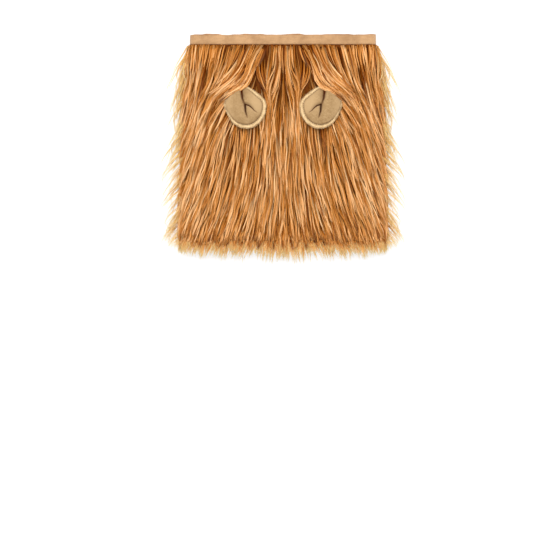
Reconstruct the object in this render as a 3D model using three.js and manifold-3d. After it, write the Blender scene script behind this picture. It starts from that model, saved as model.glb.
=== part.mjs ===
// A lion mane costume for a dog, laid flat on its back: a tube of long-pile fur cloth with an elastic
// band sewn round its neck end and two felt ears sewn to its upper side. The fur lies down the tube,
// fans out to both sides and hangs past the hem as a fringe.
// Millimetres, +Z up. The neck end points along +Y, and the tube rests on the plane z = 0.
import * as THREE from "three";
import { mergeVertices } from "three/addons/utils/BufferGeometryUtils.js";
import Module from "manifold-3d";

const wasm = await Module();
wasm.setup();

// Driving dimensions
const SEAM_GAP = 0.3; // clearance between pieces that are sewn together
const PAST = 60; // how far a cutting solid runs past what it cuts

const BAND_WIDTH = 308; // the neck band's loop, flattened, from fold to fold
const BAND_HEIGHT = 15;
const BAND_WALL = 3; // casing cloth folded over its elastic
const BAND_RIPPLE = 0.8; // how far the gathered free edge waves up and down
const RIPPLE_COUNT = 9; // waves from fold to fold

const MOUTH_GAP = 14; // free height between the upper and lower wall of the flattened tube
const BACKING_WALL = 2; // knitted backing of the fur cloth
const TUBE_LENGTH = 327; // from the band's seam to the hem
const HEM_FLARE = 20; // how much wider the flattened tube is at its hem than at the band
const UNDER_PILE = 10; // fur pressed flat between the lower wall and the floor

const PILE_BED = 5; // dense roots of the pile, all round the backing
const FRINGE = 33; // how far the longest locks hang past the hem
const LOCK_THICKNESS = 9;
const LOCK_SINK = 3; // how deep a lock is rooted in the pile bed
const LOCK_RISE = 6; // how far a lock's belly stands off the bed on the flat sides
const SPIKE_RISE = 21; // how far a lock's tip stands off the bed at the side folds
const LOCK_SWAY = 7; // how far a lock's tip bends sideways
const TOP_ROW_DROP = 4; // from the band's seam down to the first row of roots
const LENGTH_SPREAD = 0.12; // share by which locks differ in length and width
const HEM_FULLNESS = 1.4; // how much wider the tips of the hem's locks are than other tips

// The locks of each side of the tube. The columns are counted round the whole girth. The lean is
// in degrees: the locks fan outwards by so much beside the folds.
const LOCKS = {
  front: { rows: 7, columns: 24, length: 82, width: 31, lean: 30 },
  back: { rows: 5, columns: 20, length: 102, width: 39, lean: 21 },
};

const EAR_DIAMETER = 70;
const EAR_SHOULDER = 16; // degrees above its middle where the ear's round edge turns into a gable
const EAR_BASE_WIDTH = 10; // the pinched top of the gable, which is sewn down
const EAR_BASE_REACH = 36; // from the ear's centre to that top
const EAR_SPACING = 125; // between the two ears' centres
const EAR_DROP = 122; // from the band's free edge down to the ears' centres
const EAR_TURN = 2; // degrees by which each ear's base turns outwards
const EAR_TIP_LIFT = 8; // degrees by which the ears' round ends stand up from the tube
const EAR_REST = 8; // height of the ears' centres over the pile bed
const EAR_WALL = 3; // felt of the ear's back panel
const EAR_RIM = 5.5; // width of the stitched rim
const EAR_PUFF = 7; // how far the gathered inner panel stands off the back panel
const CREASE_WIDTH = 5;
const CREASE_DEPTH = 5;

// Derived levels and places
const HOLLOW_RADIUS = MOUTH_GAP / 2;
const BACKING_RADIUS = HOLLOW_RADIUS + BACKING_WALL;
const BED_RADIUS = BACKING_RADIUS + SEAM_GAP + PILE_BED;
const MIDDLE_Z = UNDER_PILE + BACKING_RADIUS;
const SEAM_Y = -BAND_HEIGHT - SEAM_GAP;
const HEM_Y = SEAM_Y - TUBE_LENGTH;
const FUR_COLOUR = "#bd824c";

/** Half the width of the flattened backing at a height y along the tube. */
function halfWidthAt(y) {
  const share = THREE.MathUtils.clamp((SEAM_Y - y) / TUBE_LENGTH, 0, 1);
  return (BAND_WIDTH + HEM_FLARE * share) / 2;
}

/** A repeatable number from -1 to 1 for a lock, the same on the left and the right of the tube. */
function jitter(row, column, salt) {
  const value = Math.sin(row * 12.9898 + column * 78.233 + salt * 37.719) * 43758.5453;
  return 2 * (value - Math.floor(value)) - 1;
}

/** A closed surface through rings of equally many points, with both ends capped. */
function loft(rings) {
  const count = rings[0].length;
  const points = rings.flat();
  const faces = [];
  for (let r = 0; r < rings.length - 1; r++) {
    for (let i = 0; i < count; i++) {
      const a = r * count + i;
      const b = r * count + ((i + 1) % count);
      faces.push(a, b, b + count, a, b + count, a + count);
    }
  }
  const last = (rings.length - 1) * count;
  for (let i = 1; i < count - 1; i++) {
    faces.push(0, i + 1, i);
    faces.push(last, last + i, last + i + 1);
  }
  const geometry = new THREE.BufferGeometry();
  geometry.setFromPoints(points);
  geometry.setIndex(faces);
  return geometry;
}

/** The solid that a closed geometry encloses, for cutting and joining. */
function solidOf(geometry, matrix = new THREE.Matrix4()) {
  const bare = new THREE.BufferGeometry();
  bare.setAttribute("position", geometry.getAttribute("position").clone());
  bare.setIndex(geometry.index);
  bare.applyMatrix4(matrix);
  const merged = mergeVertices(bare, 1e-4);
  const triVerts = new Uint32Array(merged.index.array);
  if (matrix.determinant() < 0) triVerts.reverse();
  return new wasm.Manifold(
    new wasm.Mesh({ numProp: 3, vertProperties: merged.attributes.position.array, triVerts }),
  );
}

/** The geometry of a solid. Crumbs that a cut left loose are dropped. */
function geometryOf(solid) {
  const largest = solid.decompose().reduce((a, b) => (b.volume() > a.volume() ? b : a));
  const mesh = largest.getMesh();
  const geometry = new THREE.BufferGeometry();
  geometry.setAttribute("position", new THREE.BufferAttribute(mesh.vertProperties, mesh.numProp));
  geometry.setIndex(new THREE.BufferAttribute(mesh.triVerts, 1));
  return geometry;
}

/** All solids of a list joined into one. */
function joined(solids) {
  return solids.reduce((sum, solid) => sum.add(solid));
}

/** A block between two heights and two places along the tube, wider than the whole costume. */
function block({ lowY, highY, lowZ, highZ }) {
  const wide = BAND_WIDTH * 3;
  const geometry = new THREE.BoxGeometry(wide, highY - lowY, highZ - lowZ);
  geometry.translate(0, (lowY + highY) / 2, (lowZ + highZ) / 2);
  return solidOf(geometry);
}

/** The section of a flattened tube: two flat sides and two round folds, as a ring of points. */
function flatTubeRing({ halfWidth, radius, y, flatSteps, foldSteps, edgeWave = () => 0 }) {
  const ring = [];
  const reach = halfWidth - BACKING_RADIUS;
  for (const side of [1, -1]) {
    for (let i = 0; i < flatSteps; i++) {
      const x = side * reach * (2 * (i / flatSteps) - 1);
      ring.push(new THREE.Vector3(x, y + edgeWave(x), MIDDLE_Z + side * radius));
    }
    for (let i = 0; i < foldSteps; i++) {
      const turn = Math.PI * (i / foldSteps);
      const x = side * (reach + radius * Math.sin(turn));
      ring.push(new THREE.Vector3(x, y + edgeWave(x), MIDDLE_Z + side * radius * Math.cos(turn)));
    }
  }
  return ring;
}

/** A solid bar with the flattened tube's section, which follows the tube's flare. */
function tubeBar({ radius, highY, lowY, foldSteps = 8 }) {
  const stations = [lowY, Math.max(lowY, HEM_Y), SEAM_Y, highY]
    .filter((y, i, all) => i === 0 || y > all[i - 1] + SEAM_GAP)
    .filter((y) => y <= highY);
  const rings = stations.map((y) =>
    flatTubeRing({ halfWidth: halfWidthAt(y), radius, y, flatSteps: 1, foldSteps }),
  );
  return solidOf(loft(rings));
}

/** The elastic casing round the neck end: a flattened loop with a gently waving free edge. */
function neckBand() {
  const wave = (x) => BAND_RIPPLE * Math.sin((2 * Math.PI * RIPPLE_COUNT * x) / BAND_WIDTH);
  const section = (radius, y, edgeWave) =>
    flatTubeRing({
      halfWidth: BAND_WIDTH / 2,
      radius,
      y,
      flatSteps: RIPPLE_COUNT * 3,
      foldSteps: 8,
      edgeWave,
    });
  const outer = loft([
    section(HOLLOW_RADIUS + BAND_WALL, -BAND_HEIGHT),
    section(HOLLOW_RADIUS + BAND_WALL, 0, wave),
  ]);
  const hollow = tubeBar({ radius: HOLLOW_RADIUS, highY: PAST, lowY: SEAM_Y - PAST });
  return geometryOf(solidOf(outer).subtract(hollow));
}

/** The knitted backing: a thin tube from the band's seam to the hem. */
function backingTube() {
  const outer = tubeBar({ radius: BACKING_RADIUS, highY: SEAM_Y, lowY: HEM_Y });
  const hollow = tubeBar({ radius: HOLLOW_RADIUS, highY: PAST, lowY: HEM_Y - PAST });
  return geometryOf(outer.subtract(hollow));
}

/** Place and outward normal at a share of the way round the pile bed, from the top's middle. */
function girthPlace(share, halfWidth) {
  const reach = halfWidth - BACKING_RADIUS;
  const fold = Math.PI * BED_RADIUS;
  const girth = 4 * reach + 2 * fold;
  const side = share < 0.5 ? 1 : -1;
  const walked = girth * (share < 0.5 ? share : 1 - share);
  const turn = THREE.MathUtils.clamp((walked - reach) / BED_RADIUS, 0, Math.PI);
  const flat = walked < reach ? walked : Math.max(0, Math.min(reach, girth / 2 - walked));
  const x = side * (flat + BED_RADIUS * Math.sin(turn));
  const z = MIDDLE_Z + BED_RADIUS * Math.cos(turn);
  return { x, z, normal: new THREE.Vector3(side * Math.sin(turn), 0, Math.cos(turn)) };
}

// A lock's shape from its root to its tip, as shares of its length, width, thickness and rise.
const LOCK_STATIONS = [
  { along: 0.0, wide: 0.7, thick: 0.7, rise: 0.0 },
  { along: 0.3, wide: 1.0, thick: 1.0, rise: 0.55 },
  { along: 0.7, wide: 0.75, thick: 0.75, rise: 0.95 },
  { along: 1.0, wide: 0.05, thick: 0.1, rise: 1.0 },
];

/** A lock through stations of a place, a width and a height, flat below and ridged above. */
function ridgedLock(stations, across, up) {
  return loft(
    stations.map(({ place, width, height }) => [
      place.clone().addScaledVector(across, width / 2),
      place.clone().addScaledVector(across, -width / 2),
      place.clone().addScaledVector(up, height),
    ]),
  );
}

/** One tapering lock of fur, rooted in the pile bed and combed down and outwards. */
function lock(row, column, { rows, columns, length, width, lean }) {
  const mirrored = Math.min(column, columns - 1 - column);
  const longest = length * (1 + LENGTH_SPREAD);
  const rowPitch = (TUBE_LENGTH - TOP_ROW_DROP - longest + FRINGE) / (rows - 1);
  const isBetween = mirrored % 2 === 1 && row < rows - 1;
  const y = SEAM_Y - TOP_ROW_DROP - rowPitch * (row + (isBetween ? 0.5 : 0));
  const halfWidth = halfWidthAt(y);
  const { x, z, normal } = girthPlace((column + 0.5) / columns, halfWidth);

  const spread = THREE.MathUtils.clamp(x / halfWidth, -1, 1);
  const wander = 7 * jitter(row, mirrored, 1) * Math.sign(x);
  const turn = THREE.MathUtils.degToRad(lean * spread + wander) * normal.z;
  const round = new THREE.Vector3(normal.z, 0, -normal.x);
  const flow = new THREE.Vector3(0, -Math.cos(turn), 0).addScaledVector(round, Math.sin(turn));
  const across = new THREE.Vector3().crossVectors(flow, normal);

  const ownLength = length * (1 + LENGTH_SPREAD * jitter(row, mirrored, 2));
  const ownWidth = width * (1 + LENGTH_SPREAD * jitter(row, mirrored, 3));
  const sway = LOCK_SWAY * jitter(row, mirrored, 4) * Math.sign(x) * Math.sign(normal.z);
  const stand = THREE.MathUtils.lerp(LOCK_RISE, SPIKE_RISE, Math.abs(normal.x) ** 2);
  const tipWidth = row === rows - 1 ? HEM_FULLNESS : 1;
  const root = new THREE.Vector3(x, y, z).addScaledVector(normal, -LOCK_SINK);
  const stations = LOCK_STATIONS.map((station) => ({
    place: root
      .clone()
      .addScaledVector(flow, station.along * ownLength)
      .addScaledVector(across, station.along ** 2 * sway)
      .addScaledVector(normal, station.rise * stand),
    width: station.wide * ownWidth * THREE.MathUtils.lerp(1, tipWidth, station.along),
    height: station.thick * LOCK_THICKNESS,
  }));
  return ridgedLock(stations, across, normal);
}

// The locks that sweep over each ear's sewn top, seen from above the left ear. Places are shares
// of the ear's radius from its centre. Heights over the pile bed and sizes are shares of a lock's
// thickness.
const COVER_LOCKS = [
  [
    { x: 0.83, y: 2.5, z: -0.35, width: 1.6, height: 0.8 },
    { x: 0.43, y: 1.7, z: 0.1, width: 2.4, height: 0.9 },
    { x: -0.17, y: 1.2, z: 0.45, width: 2.4, height: 0.8 },
    { x: -0.86, y: 0.78, z: 0.75, width: 2.0, height: 0.65 },
    { x: -1.62, y: 0.17, z: 0.85, width: 0.15, height: 0.1 },
  ],
  [
    { x: 0.57, y: 2.05, z: -0.35, width: 1.3, height: 0.8 },
    { x: 0.69, y: 1.43, z: 0.1, width: 1.8, height: 0.8 },
    { x: 0.94, y: 0.8, z: 0.55, width: 1.2, height: 0.65 },
    { x: 1.2, y: 0.17, z: 0.65, width: 0.15, height: 0.1 },
  ],
];

/** One lock that is laid over the top of an ear. */
function coverLock(points, side) {
  const radius = EAR_DIAMETER / 2;
  const places = points.map(
    ({ x, y, z }) => new THREE.Vector3(x * radius, y * radius, z * LOCK_THICKNESS),
  );
  const run = places[places.length - 1].clone().sub(places[0]).setZ(0).normalize();
  const up = new THREE.Vector3(0, 0, 1);
  const stations = points.map(({ width, height }, i) => ({
    place: places[i],
    width: width * LOCK_THICKNESS,
    height: height * LOCK_THICKNESS,
  }));
  const local = ridgedLock(stations, new THREE.Vector3().crossVectors(run, up), up);
  const spot = new THREE.Object3D();
  spot.position.set((side * EAR_SPACING) / 2, -EAR_DROP, MIDDLE_Z + BED_RADIUS);
  spot.scale.set(-side, 1, 1);
  spot.updateMatrix();
  return solidOf(local, spot.matrix).subtract(earRoom(side));
}

/** Pile bed and locks of one side of the tube, joined, and open where the backing runs. */
function fur({ lowZ, highZ, layout, isOnThisSide, pockets = [], covers = [] }) {
  const furEnd = HEM_Y - layout.length * 2;
  const locks = [];
  for (let row = 0; row < layout.rows; row++) {
    for (let column = 0; column < layout.columns; column++) {
      const turned = Math.cos(2 * Math.PI * ((column + 0.5) / layout.columns));
      if (isOnThisSide(turned)) locks.push(solidOf(lock(row, column, layout)));
    }
  }
  const bed = tubeBar({ radius: BED_RADIUS, highY: SEAM_Y, lowY: HEM_Y });
  const room = block({ lowY: furEnd, highY: SEAM_Y, lowZ, highZ });
  const inside = tubeBar({
    radius: BACKING_RADIUS + SEAM_GAP,
    highY: PAST,
    lowY: furEnd - PAST,
  });
  const pile = joined([bed, ...locks]).subtract(joined([inside, ...pockets]));
  return geometryOf(joined([pile, ...covers]).intersect(room));
}

/** Outline of an ear, seen from above with its sewn top up. */
function earOutline() {
  const shoulder = THREE.MathUtils.degToRad(EAR_SHOULDER);
  const half = EAR_BASE_WIDTH / 2;
  const shape = new THREE.Shape();
  shape.moveTo(half, EAR_BASE_REACH);
  shape.lineTo(-half, EAR_BASE_REACH);
  shape.absarc(0, 0, EAR_DIAMETER / 2, Math.PI - shoulder, 2 * Math.PI + shoulder, false);
  return shape.getPoints(14);
}

/** The outline as a ring of points at a height, taken in by an inset and pulled in by a share. */
function earRing(inset, height, pull = 0) {
  const scale = (1 - (2 * inset) / EAR_DIAMETER) * (1 - pull);
  return earOutline().map((p) => new THREE.Vector3(p.x * scale, p.y * scale, height));
}

/** The ear's back panel with its flat stitched rim. */
function earBack() {
  return loft([earRing(1, 0), earRing(0, EAR_WALL / 2), earRing(1, EAR_WALL)]);
}

// Rings of the gathered inner panel: how far each is pulled in, and its share of the puff.
const PUFF_RINGS = [
  { pull: 0.0, rise: 0.0 },
  { pull: 0.02, rise: 0.3 },
  { pull: 0.12, rise: 0.72 },
  { pull: 0.32, rise: 0.97 },
  { pull: 0.6, rise: 1.0 },
];

// The creases that the pinched base throws, as shares of the ear's radius: a stem and two branches.
const CREASES = {
  stem: [
    { x: -0.1, y: 1.1, size: 1.2 },
    { x: -0.13, y: 0.55, size: 1.1 },
    { x: 0.0, y: 0.08, size: 1.0 },
    { x: 0.03, y: -0.02, size: 0.6 },
  ],
  inner: [
    { x: 0.0, y: 0.13, size: 0.9 },
    { x: 0.22, y: 0.0, size: 0.9 },
    { x: 0.42, y: -0.18, size: 0.6 },
    { x: 0.58, y: -0.36, size: 0.12 },
  ],
  tip: [
    { x: 0.0, y: 0.13, size: 0.9 },
    { x: 0.01, y: -0.18, size: 0.8 },
    { x: 0.05, y: -0.36, size: 0.5 },
    { x: 0.1, y: -0.56, size: 0.12 },
  ],
};

/** A V-shaped cutter along one crease, deepest where its size is 1. */
function crease(points, topZ) {
  const radius = EAR_DIAMETER / 2;
  return solidOf(
    loft(
      points.map((point, i) => {
        const before = points[Math.max(i - 1, 0)];
        const after = points[Math.min(i + 1, points.length - 1)];
        const along = new THREE.Vector2(after.x - before.x, after.y - before.y).normalize();
        const half = (CREASE_WIDTH * point.size) / 2;
        const middle = new THREE.Vector2(point.x * radius, point.y * radius);
        const left = [middle.x - along.y * half, middle.y + along.x * half];
        const right = [middle.x + along.y * half, middle.y - along.x * half];
        return [
          new THREE.Vector3(...left, topZ + 1),
          new THREE.Vector3(...right, topZ + 1),
          new THREE.Vector3(middle.x, middle.y, topZ - CREASE_DEPTH * point.size),
        ];
      }),
    ),
  );
}

/** The puffed-up form of the ear's inner panel, grown on all sides by a clearance. */
function earPuff(grow = 0) {
  const low = EAR_WALL + SEAM_GAP;
  const rings = PUFF_RINGS.map((ring) =>
    earRing(EAR_RIM - grow, low + ring.rise * EAR_PUFF + (ring.rise > 0 ? grow : -grow), ring.pull),
  );
  return loft(rings);
}

/** The ear's inner panel, puffed up between its creases inside the stitched rim. */
function earFront() {
  const cutters = Object.values(CREASES).map((points) =>
    crease(points, EAR_WALL + SEAM_GAP + EAR_PUFF),
  );
  return geometryOf(solidOf(earPuff()).subtract(joined(cutters)));
}

/** Where an ear lies on the tube: side 1 is the right ear, -1 the left ear, its mirror image. */
function earMatrix(side) {
  const place = new THREE.Object3D();
  place.position.set(
    (side * EAR_SPACING) / 2,
    -EAR_DROP,
    MIDDLE_Z + BED_RADIUS + EAR_REST - EAR_WALL / 2,
  );
  place.rotation.set(
    THREE.MathUtils.degToRad(-EAR_TIP_LIFT),
    0,
    THREE.MathUtils.degToRad(-side * EAR_TURN),
  );
  place.scale.set(-side, 1, 1);
  place.updateMatrix();
  return place;
}

/** The hole that an ear needs in the fur: its outline with a clearance, open upwards. */
function earPocket(side) {
  const rings = [earRing(-SEAM_GAP * 2, -SEAM_GAP), earRing(-SEAM_GAP * 2, PAST)];
  return solidOf(loft(rings), earMatrix(side).matrix);
}

/** The ear itself with a clearance on all sides, for the locks that lie on top of it. */
function earRoom(side) {
  const grow = SEAM_GAP * 2;
  const panel = loft([earRing(-grow, -grow), earRing(-grow, EAR_WALL + grow)]);
  const matrix = earMatrix(side).matrix;
  return solidOf(panel, matrix).add(solidOf(earPuff(grow), matrix));
}

/** A finish in the colour that the cloth shows. */
function cloth(color, roughness) {
  return new THREE.MeshStandardMaterial({ color, roughness, metalness: 0 });
}

function named(name, geometry, material) {
  const mesh = new THREE.Mesh(geometry, material);
  mesh.name = name;
  return mesh;
}

/** One ear as a group that holds its back panel and its inner panel. */
function ear(word, side) {
  const group = earMatrix(side);
  group.add(named(`${word}_ear_back`, earBack(), cloth("#d9b180", 0.95)));
  group.add(named(`${word}_ear_front`, earFront(), cloth("#c9a272", 0.95)));
  return group;
}

const mane = new THREE.Group();
mane.add(named("neck_band", neckBand(), cloth("#daab7d", 0.85)));
mane.add(named("backing_tube", backingTube(), cloth("#c08a55", 0.95)));
mane.add(
  named(
    "front_fur",
    fur({
      lowZ: MIDDLE_Z + SEAM_GAP / 2,
      highZ: MIDDLE_Z + PAST + SPIKE_RISE,
      layout: LOCKS.front,
      isOnThisSide: (turned) => turned > 0,
      pockets: [earPocket(-1), earPocket(1)],
      covers: COVER_LOCKS.flatMap((points) => [coverLock(points, -1), coverLock(points, 1)]),
    }),
    cloth(FUR_COLOUR, 0.7),
  ),
);
mane.add(
  named(
    "back_fur",
    fur({
      lowZ: 0,
      highZ: MIDDLE_Z - SEAM_GAP / 2,
      layout: LOCKS.back,
      isOnThisSide: (turned) => turned < 0,
    }),
    cloth(FUR_COLOUR, 0.7),
  ),
);
mane.add(ear("left", -1), ear("right", 1));

// The origin is the middle of the footprint, on the floor.
const footprint = new THREE.Box3().setFromObject(mane);
mane.position.y = -(footprint.min.y + footprint.max.y) / 2;

const part = new THREE.Group();
part.add(mane);
export default part;
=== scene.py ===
"""Looks of a lion mane costume for a dog, laid flat on a pale floor.

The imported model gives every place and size. Each of its soft nodes gets the piece that is seen in
its stead: a gathered band, a knitted tube, a pelt of combed hair and two felt ears.
"""

import logging
import math
from dataclasses import dataclass, field
from enum import Enum
from typing import Callable, Sequence

import bpy
import numpy as np
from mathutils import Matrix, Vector

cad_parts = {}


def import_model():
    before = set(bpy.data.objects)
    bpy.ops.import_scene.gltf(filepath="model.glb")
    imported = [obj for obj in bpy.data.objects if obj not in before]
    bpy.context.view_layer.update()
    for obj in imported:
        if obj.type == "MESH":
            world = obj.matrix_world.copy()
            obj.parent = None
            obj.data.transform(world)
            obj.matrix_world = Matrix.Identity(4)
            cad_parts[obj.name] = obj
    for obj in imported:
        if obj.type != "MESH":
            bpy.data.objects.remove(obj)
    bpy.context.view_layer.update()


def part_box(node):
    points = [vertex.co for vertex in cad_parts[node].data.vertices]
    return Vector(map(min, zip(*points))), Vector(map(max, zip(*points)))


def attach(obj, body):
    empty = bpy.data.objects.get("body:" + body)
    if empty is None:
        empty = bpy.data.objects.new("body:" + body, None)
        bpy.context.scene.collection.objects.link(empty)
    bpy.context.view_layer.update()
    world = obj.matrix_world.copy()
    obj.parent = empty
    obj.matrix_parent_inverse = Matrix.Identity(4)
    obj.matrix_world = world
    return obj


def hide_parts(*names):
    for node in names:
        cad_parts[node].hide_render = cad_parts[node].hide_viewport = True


LOG = logging.getLogger("lion_mane")
MM = 0.001
HAIR_MAP = "OFBake"
TINY = 1e-9
# How far a hair's three sides differ in tone, and how close to the floor one may come.
TONE_STEP = 0.003
FLOOR_GAP = 0.05 * MM
# How thick a hair is from its root to its tip, in shares of its radius.
FULL_TAPER = (0.8, 1.0, 1.0, 0.95, 0.85, 0.65, 0.4)
FINE_TAPER = (1.2, 1.2, 1.1, 0.95, 0.72, 0.48, 0.24)
Array = np.ndarray
Point = tuple[float, float, float]
WHITE = (1.0, 1.0, 1.0)

# Cloth settings that fill the ears' inner panels, and how many frames they are given.
FILLING = {
    "quality": 6,
    "mass": 0.15,
    "tension_stiffness": 22,
    "compression_stiffness": 22,
    "shear_stiffness": 8,
    "bending_stiffness": 0.4,
    "use_pressure": True,
}
FILLING_FRAMES = 20


class Side(Enum):
    """A side of the costume, as the sign of X there."""

    LEFT = -1
    RIGHT = 1

    @property
    def word(self) -> str:
        """The side's name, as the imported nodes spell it."""
        return self.name.lower()


# Modelling helpers


def select_only(piece: bpy.types.Object) -> None:
    """Make a piece the one selected and active object.

    Args:
        piece: The object to select.
    """
    if bpy.context.mode != "OBJECT":
        bpy.ops.object.mode_set(mode="OBJECT")
    bpy.ops.object.select_all(action="DESELECT")
    piece.select_set(True)
    bpy.context.view_layer.objects.active = piece


def new_piece(name: str, add: Callable[..., object], **values: object) -> bpy.types.Object:
    """Add a primitive with everything else deselected, and name it.

    Args:
        name: Name of the piece and of its mesh.
        add: The primitive's operator.
        **values: The operator's settings.

    Returns:
        The new object.
    """
    bpy.ops.object.select_all(action="DESELECT")
    add(**values)
    piece = bpy.context.object
    piece.name = name
    piece.data.name = name
    return piece


def apply_modifier(piece: bpy.types.Object, kind: str, **values: object) -> None:
    """Add a modifier to a piece and apply it at once.

    Args:
        piece: The object to change.
        kind: Blender's name of the modifier type.
        **values: The modifier's settings.
    """
    select_only(piece)
    modifier = piece.modifiers.new(kind.title(), kind)
    for key, value in values.items():
        setattr(modifier, key, value)
    bpy.ops.object.modifier_apply(modifier=modifier.name)


def in_edit_mode(piece: bpy.types.Object, *steps: Callable[[], object]) -> None:
    """Run edit mode steps on all of a piece's mesh.

    Args:
        piece: The object to edit.
        *steps: Calls that act on what is selected.
    """
    select_only(piece)
    bpy.ops.object.mode_set(mode="EDIT")
    bpy.ops.mesh.select_all(action="SELECT")
    for step in steps:
        step()
    bpy.ops.object.mode_set(mode="OBJECT")


def points_of(piece: bpy.types.Object) -> Array:
    """Read a mesh's vertices as an array of three columns.

    Args:
        piece: The object to read.

    Returns:
        One row for each vertex.
    """
    flat = np.empty(len(piece.data.vertices) * 3)
    piece.data.vertices.foreach_get("co", flat)
    return flat.reshape(-1, 3)


def move_points(piece: bpy.types.Object, points: Array) -> None:
    """Give a mesh's vertices new places.

    Args:
        piece: The object to change.
        points: One row for each vertex.
    """
    piece.data.vertices.foreach_set("co", np.ascontiguousarray(points, float).ravel())
    piece.data.update()


def circle(name: str, around: int, fill: str = "NOTHING") -> bpy.types.Object:
    """Model a circle of unit radius.

    Args:
        name: Name of the piece.
        around: Vertices in the circle.
        fill: How Blender fills it.

    Returns:
        The circle.
    """
    add = bpy.ops.mesh.primitive_circle_add
    return new_piece(name, add, vertices=around, radius=1, fill_type=fill)


def raise_ring() -> None:
    """Extrude what is selected by one unit along Z."""
    bpy.ops.mesh.extrude_region_move(TRANSFORM_OT_translate={"value": (0, 0, 1)})


def extruded_ring(name: str, around: int, along: int) -> bpy.types.Object:
    """Model an open tube of unit size: a circle of vertices, extruded in steps along Z.

    Args:
        name: Name of the piece.
        around: Vertices in the circle.
        along: Number of extrusions.

    Returns:
        The tube, with its rings at whole heights from 0 to along.
    """
    piece = circle(name, around)
    in_edit_mode(piece, *[raise_ring] * along)
    return piece


def face_outwards(piece: bpy.types.Object) -> None:
    """Turn all faces of a closed or tube-like mesh outwards.

    Args:
        piece: The object to change.
    """
    in_edit_mode(piece, lambda: bpy.ops.mesh.normals_make_consistent(inside=False))


def subdivide_where(piece: bpy.types.Object, chosen: Array, cuts: int) -> None:
    """Subdivide some of a mesh's faces.

    Args:
        piece: The object to change.
        chosen: Whether each face is subdivided.
        cuts: Number of cuts along each of their edges.
    """
    select_only(piece)
    bpy.ops.object.mode_set(mode="EDIT")
    bpy.ops.mesh.select_mode(type="FACE")
    bpy.ops.mesh.select_all(action="DESELECT")
    bpy.ops.object.mode_set(mode="OBJECT")
    piece.data.polygons.foreach_set("select", chosen)
    bpy.ops.object.mode_set(mode="EDIT")
    bpy.ops.mesh.subdivide(number_cuts=cuts)
    bpy.ops.mesh.select_mode(type="VERT")
    bpy.ops.object.mode_set(mode="OBJECT")


def inflate(piece: bpy.types.Object, held: Array, pressure: float, cap: float) -> None:
    """Fill a closed padded piece by a short cloth simulation, and keep its result.

    Args:
        piece: The object to fill.
        held: Whether each vertex is sewn down and stays where it is.
        pressure: The filling's pressure.
        cap: How far a vertex may move.
    """
    before = points_of(piece)
    group = piece.vertex_groups.new(name="sewn")
    group.add([int(i) for i in np.flatnonzero(held)], 1.0, "REPLACE")
    select_only(piece)
    modifier = piece.modifiers.new("Filling", "CLOTH")
    cloth = modifier.settings
    for key, value in FILLING.items():
        setattr(cloth, key, value)
    cloth.vertex_group_mass = group.name
    cloth.uniform_pressure_force = pressure
    cloth.effector_weights.gravity = 0
    modifier.collision_settings.use_collision = False
    modifier.point_cache.frame_start = 1
    modifier.point_cache.frame_end = FILLING_FRAMES
    for frame in range(1, FILLING_FRAMES + 1):
        bpy.context.scene.frame_set(frame)
    bpy.ops.object.modifier_apply(modifier=modifier.name)
    bpy.context.scene.frame_set(1)
    moved = points_of(piece) - before
    far = np.linalg.norm(moved, axis=1, keepdims=True)
    move_points(piece, before + moved * np.minimum(1, cap / np.maximum(far, TINY)))
    piece.vertex_groups.clear()


def shade(piece: bpy.types.Object, angle: float = 50.0) -> None:
    """Smooth the shading of a piece except over sharp edges.

    Args:
        piece: The object to shade.
        angle: Degrees from which an edge counts as sharp.
    """
    select_only(piece)
    bpy.ops.object.shade_smooth_by_angle(angle=math.radians(angle))


def finish_piece(piece: bpy.types.Object, finish: "Finish", slot: str, *stands_for: str) -> None:
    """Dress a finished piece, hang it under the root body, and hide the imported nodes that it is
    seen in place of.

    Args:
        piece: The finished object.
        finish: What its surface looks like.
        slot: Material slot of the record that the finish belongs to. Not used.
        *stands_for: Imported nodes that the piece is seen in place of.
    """
    piece.data.materials.clear()
    piece.data.materials.append(finish.material())
    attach(piece, "root")
    if stands_for:
        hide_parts(*stands_for)
    piece.data.calc_loop_triangles()
    LOG.info("%s: %d triangles", piece.name, len(piece.data.loop_triangles))


def ripple(*phases: Array) -> Array:
    """Add up sine waves of equal height, as one gentle uneven wave.

    Args:
        *phases: The phase of each wave, in radians.

    Returns:
        A height from -1 to 1 for each place.
    """
    return sum(np.sin(phase) for phase in phases) / len(phases)


def value_noise(x: Array, y: Array, cell: float, seed: int) -> Array:
    """Give smooth random heights over a plane.

    Args:
        x: First coordinates.
        y: Second coordinates.
        cell: Distance over which the heights change.
        seed: Which noise it is.

    Returns:
        A height from -1 to 1 for each place.
    """
    size = 64
    table = np.random.default_rng(seed).uniform(-1, 1, (size, size))
    i, j = np.floor(x / cell).astype(int), np.floor(y / cell).astype(int)
    s, t = x / cell - i, y / cell - j
    s, t = s * s * (3 - 2 * s), t * t * (3 - 2 * t)
    a, b = table[i % size, j % size], table[(i + 1) % size, j % size]
    c, d = table[i % size, (j + 1) % size], table[(i + 1) % size, (j + 1) % size]
    return (a * (1 - s) + b * s) * (1 - t) + (c * (1 - s) + d * s) * t


def between(ends: tuple[float, float], share: Array) -> Array:
    """Find values between two ends.

    Args:
        ends: The values at shares 0 and 1.
        share: How far along each value lies.

    Returns:
        The value at each share.
    """
    return ends[0] + (ends[1] - ends[0]) * share


def unit(vectors: Array) -> Array:
    """Scale vectors to unit length.

    Args:
        vectors: Vectors along the last axis.

    Returns:
        Their directions.
    """
    return vectors / np.maximum(np.linalg.norm(vectors, axis=-1, keepdims=True), TINY)


def directions(lines: Array, normals: Array) -> tuple[Array, Array]:
    """Find which way lines run at each of their points.

    Args:
        lines: Points of each line.
        normals: A surface normal for each line.

    Returns:
        Directions along the lines, and directions across both them and the normals.
    """
    along = unit(np.gradient(lines, axis=1))
    return along, unit(np.cross(along, normals[:, None]))


# Finishes


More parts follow.
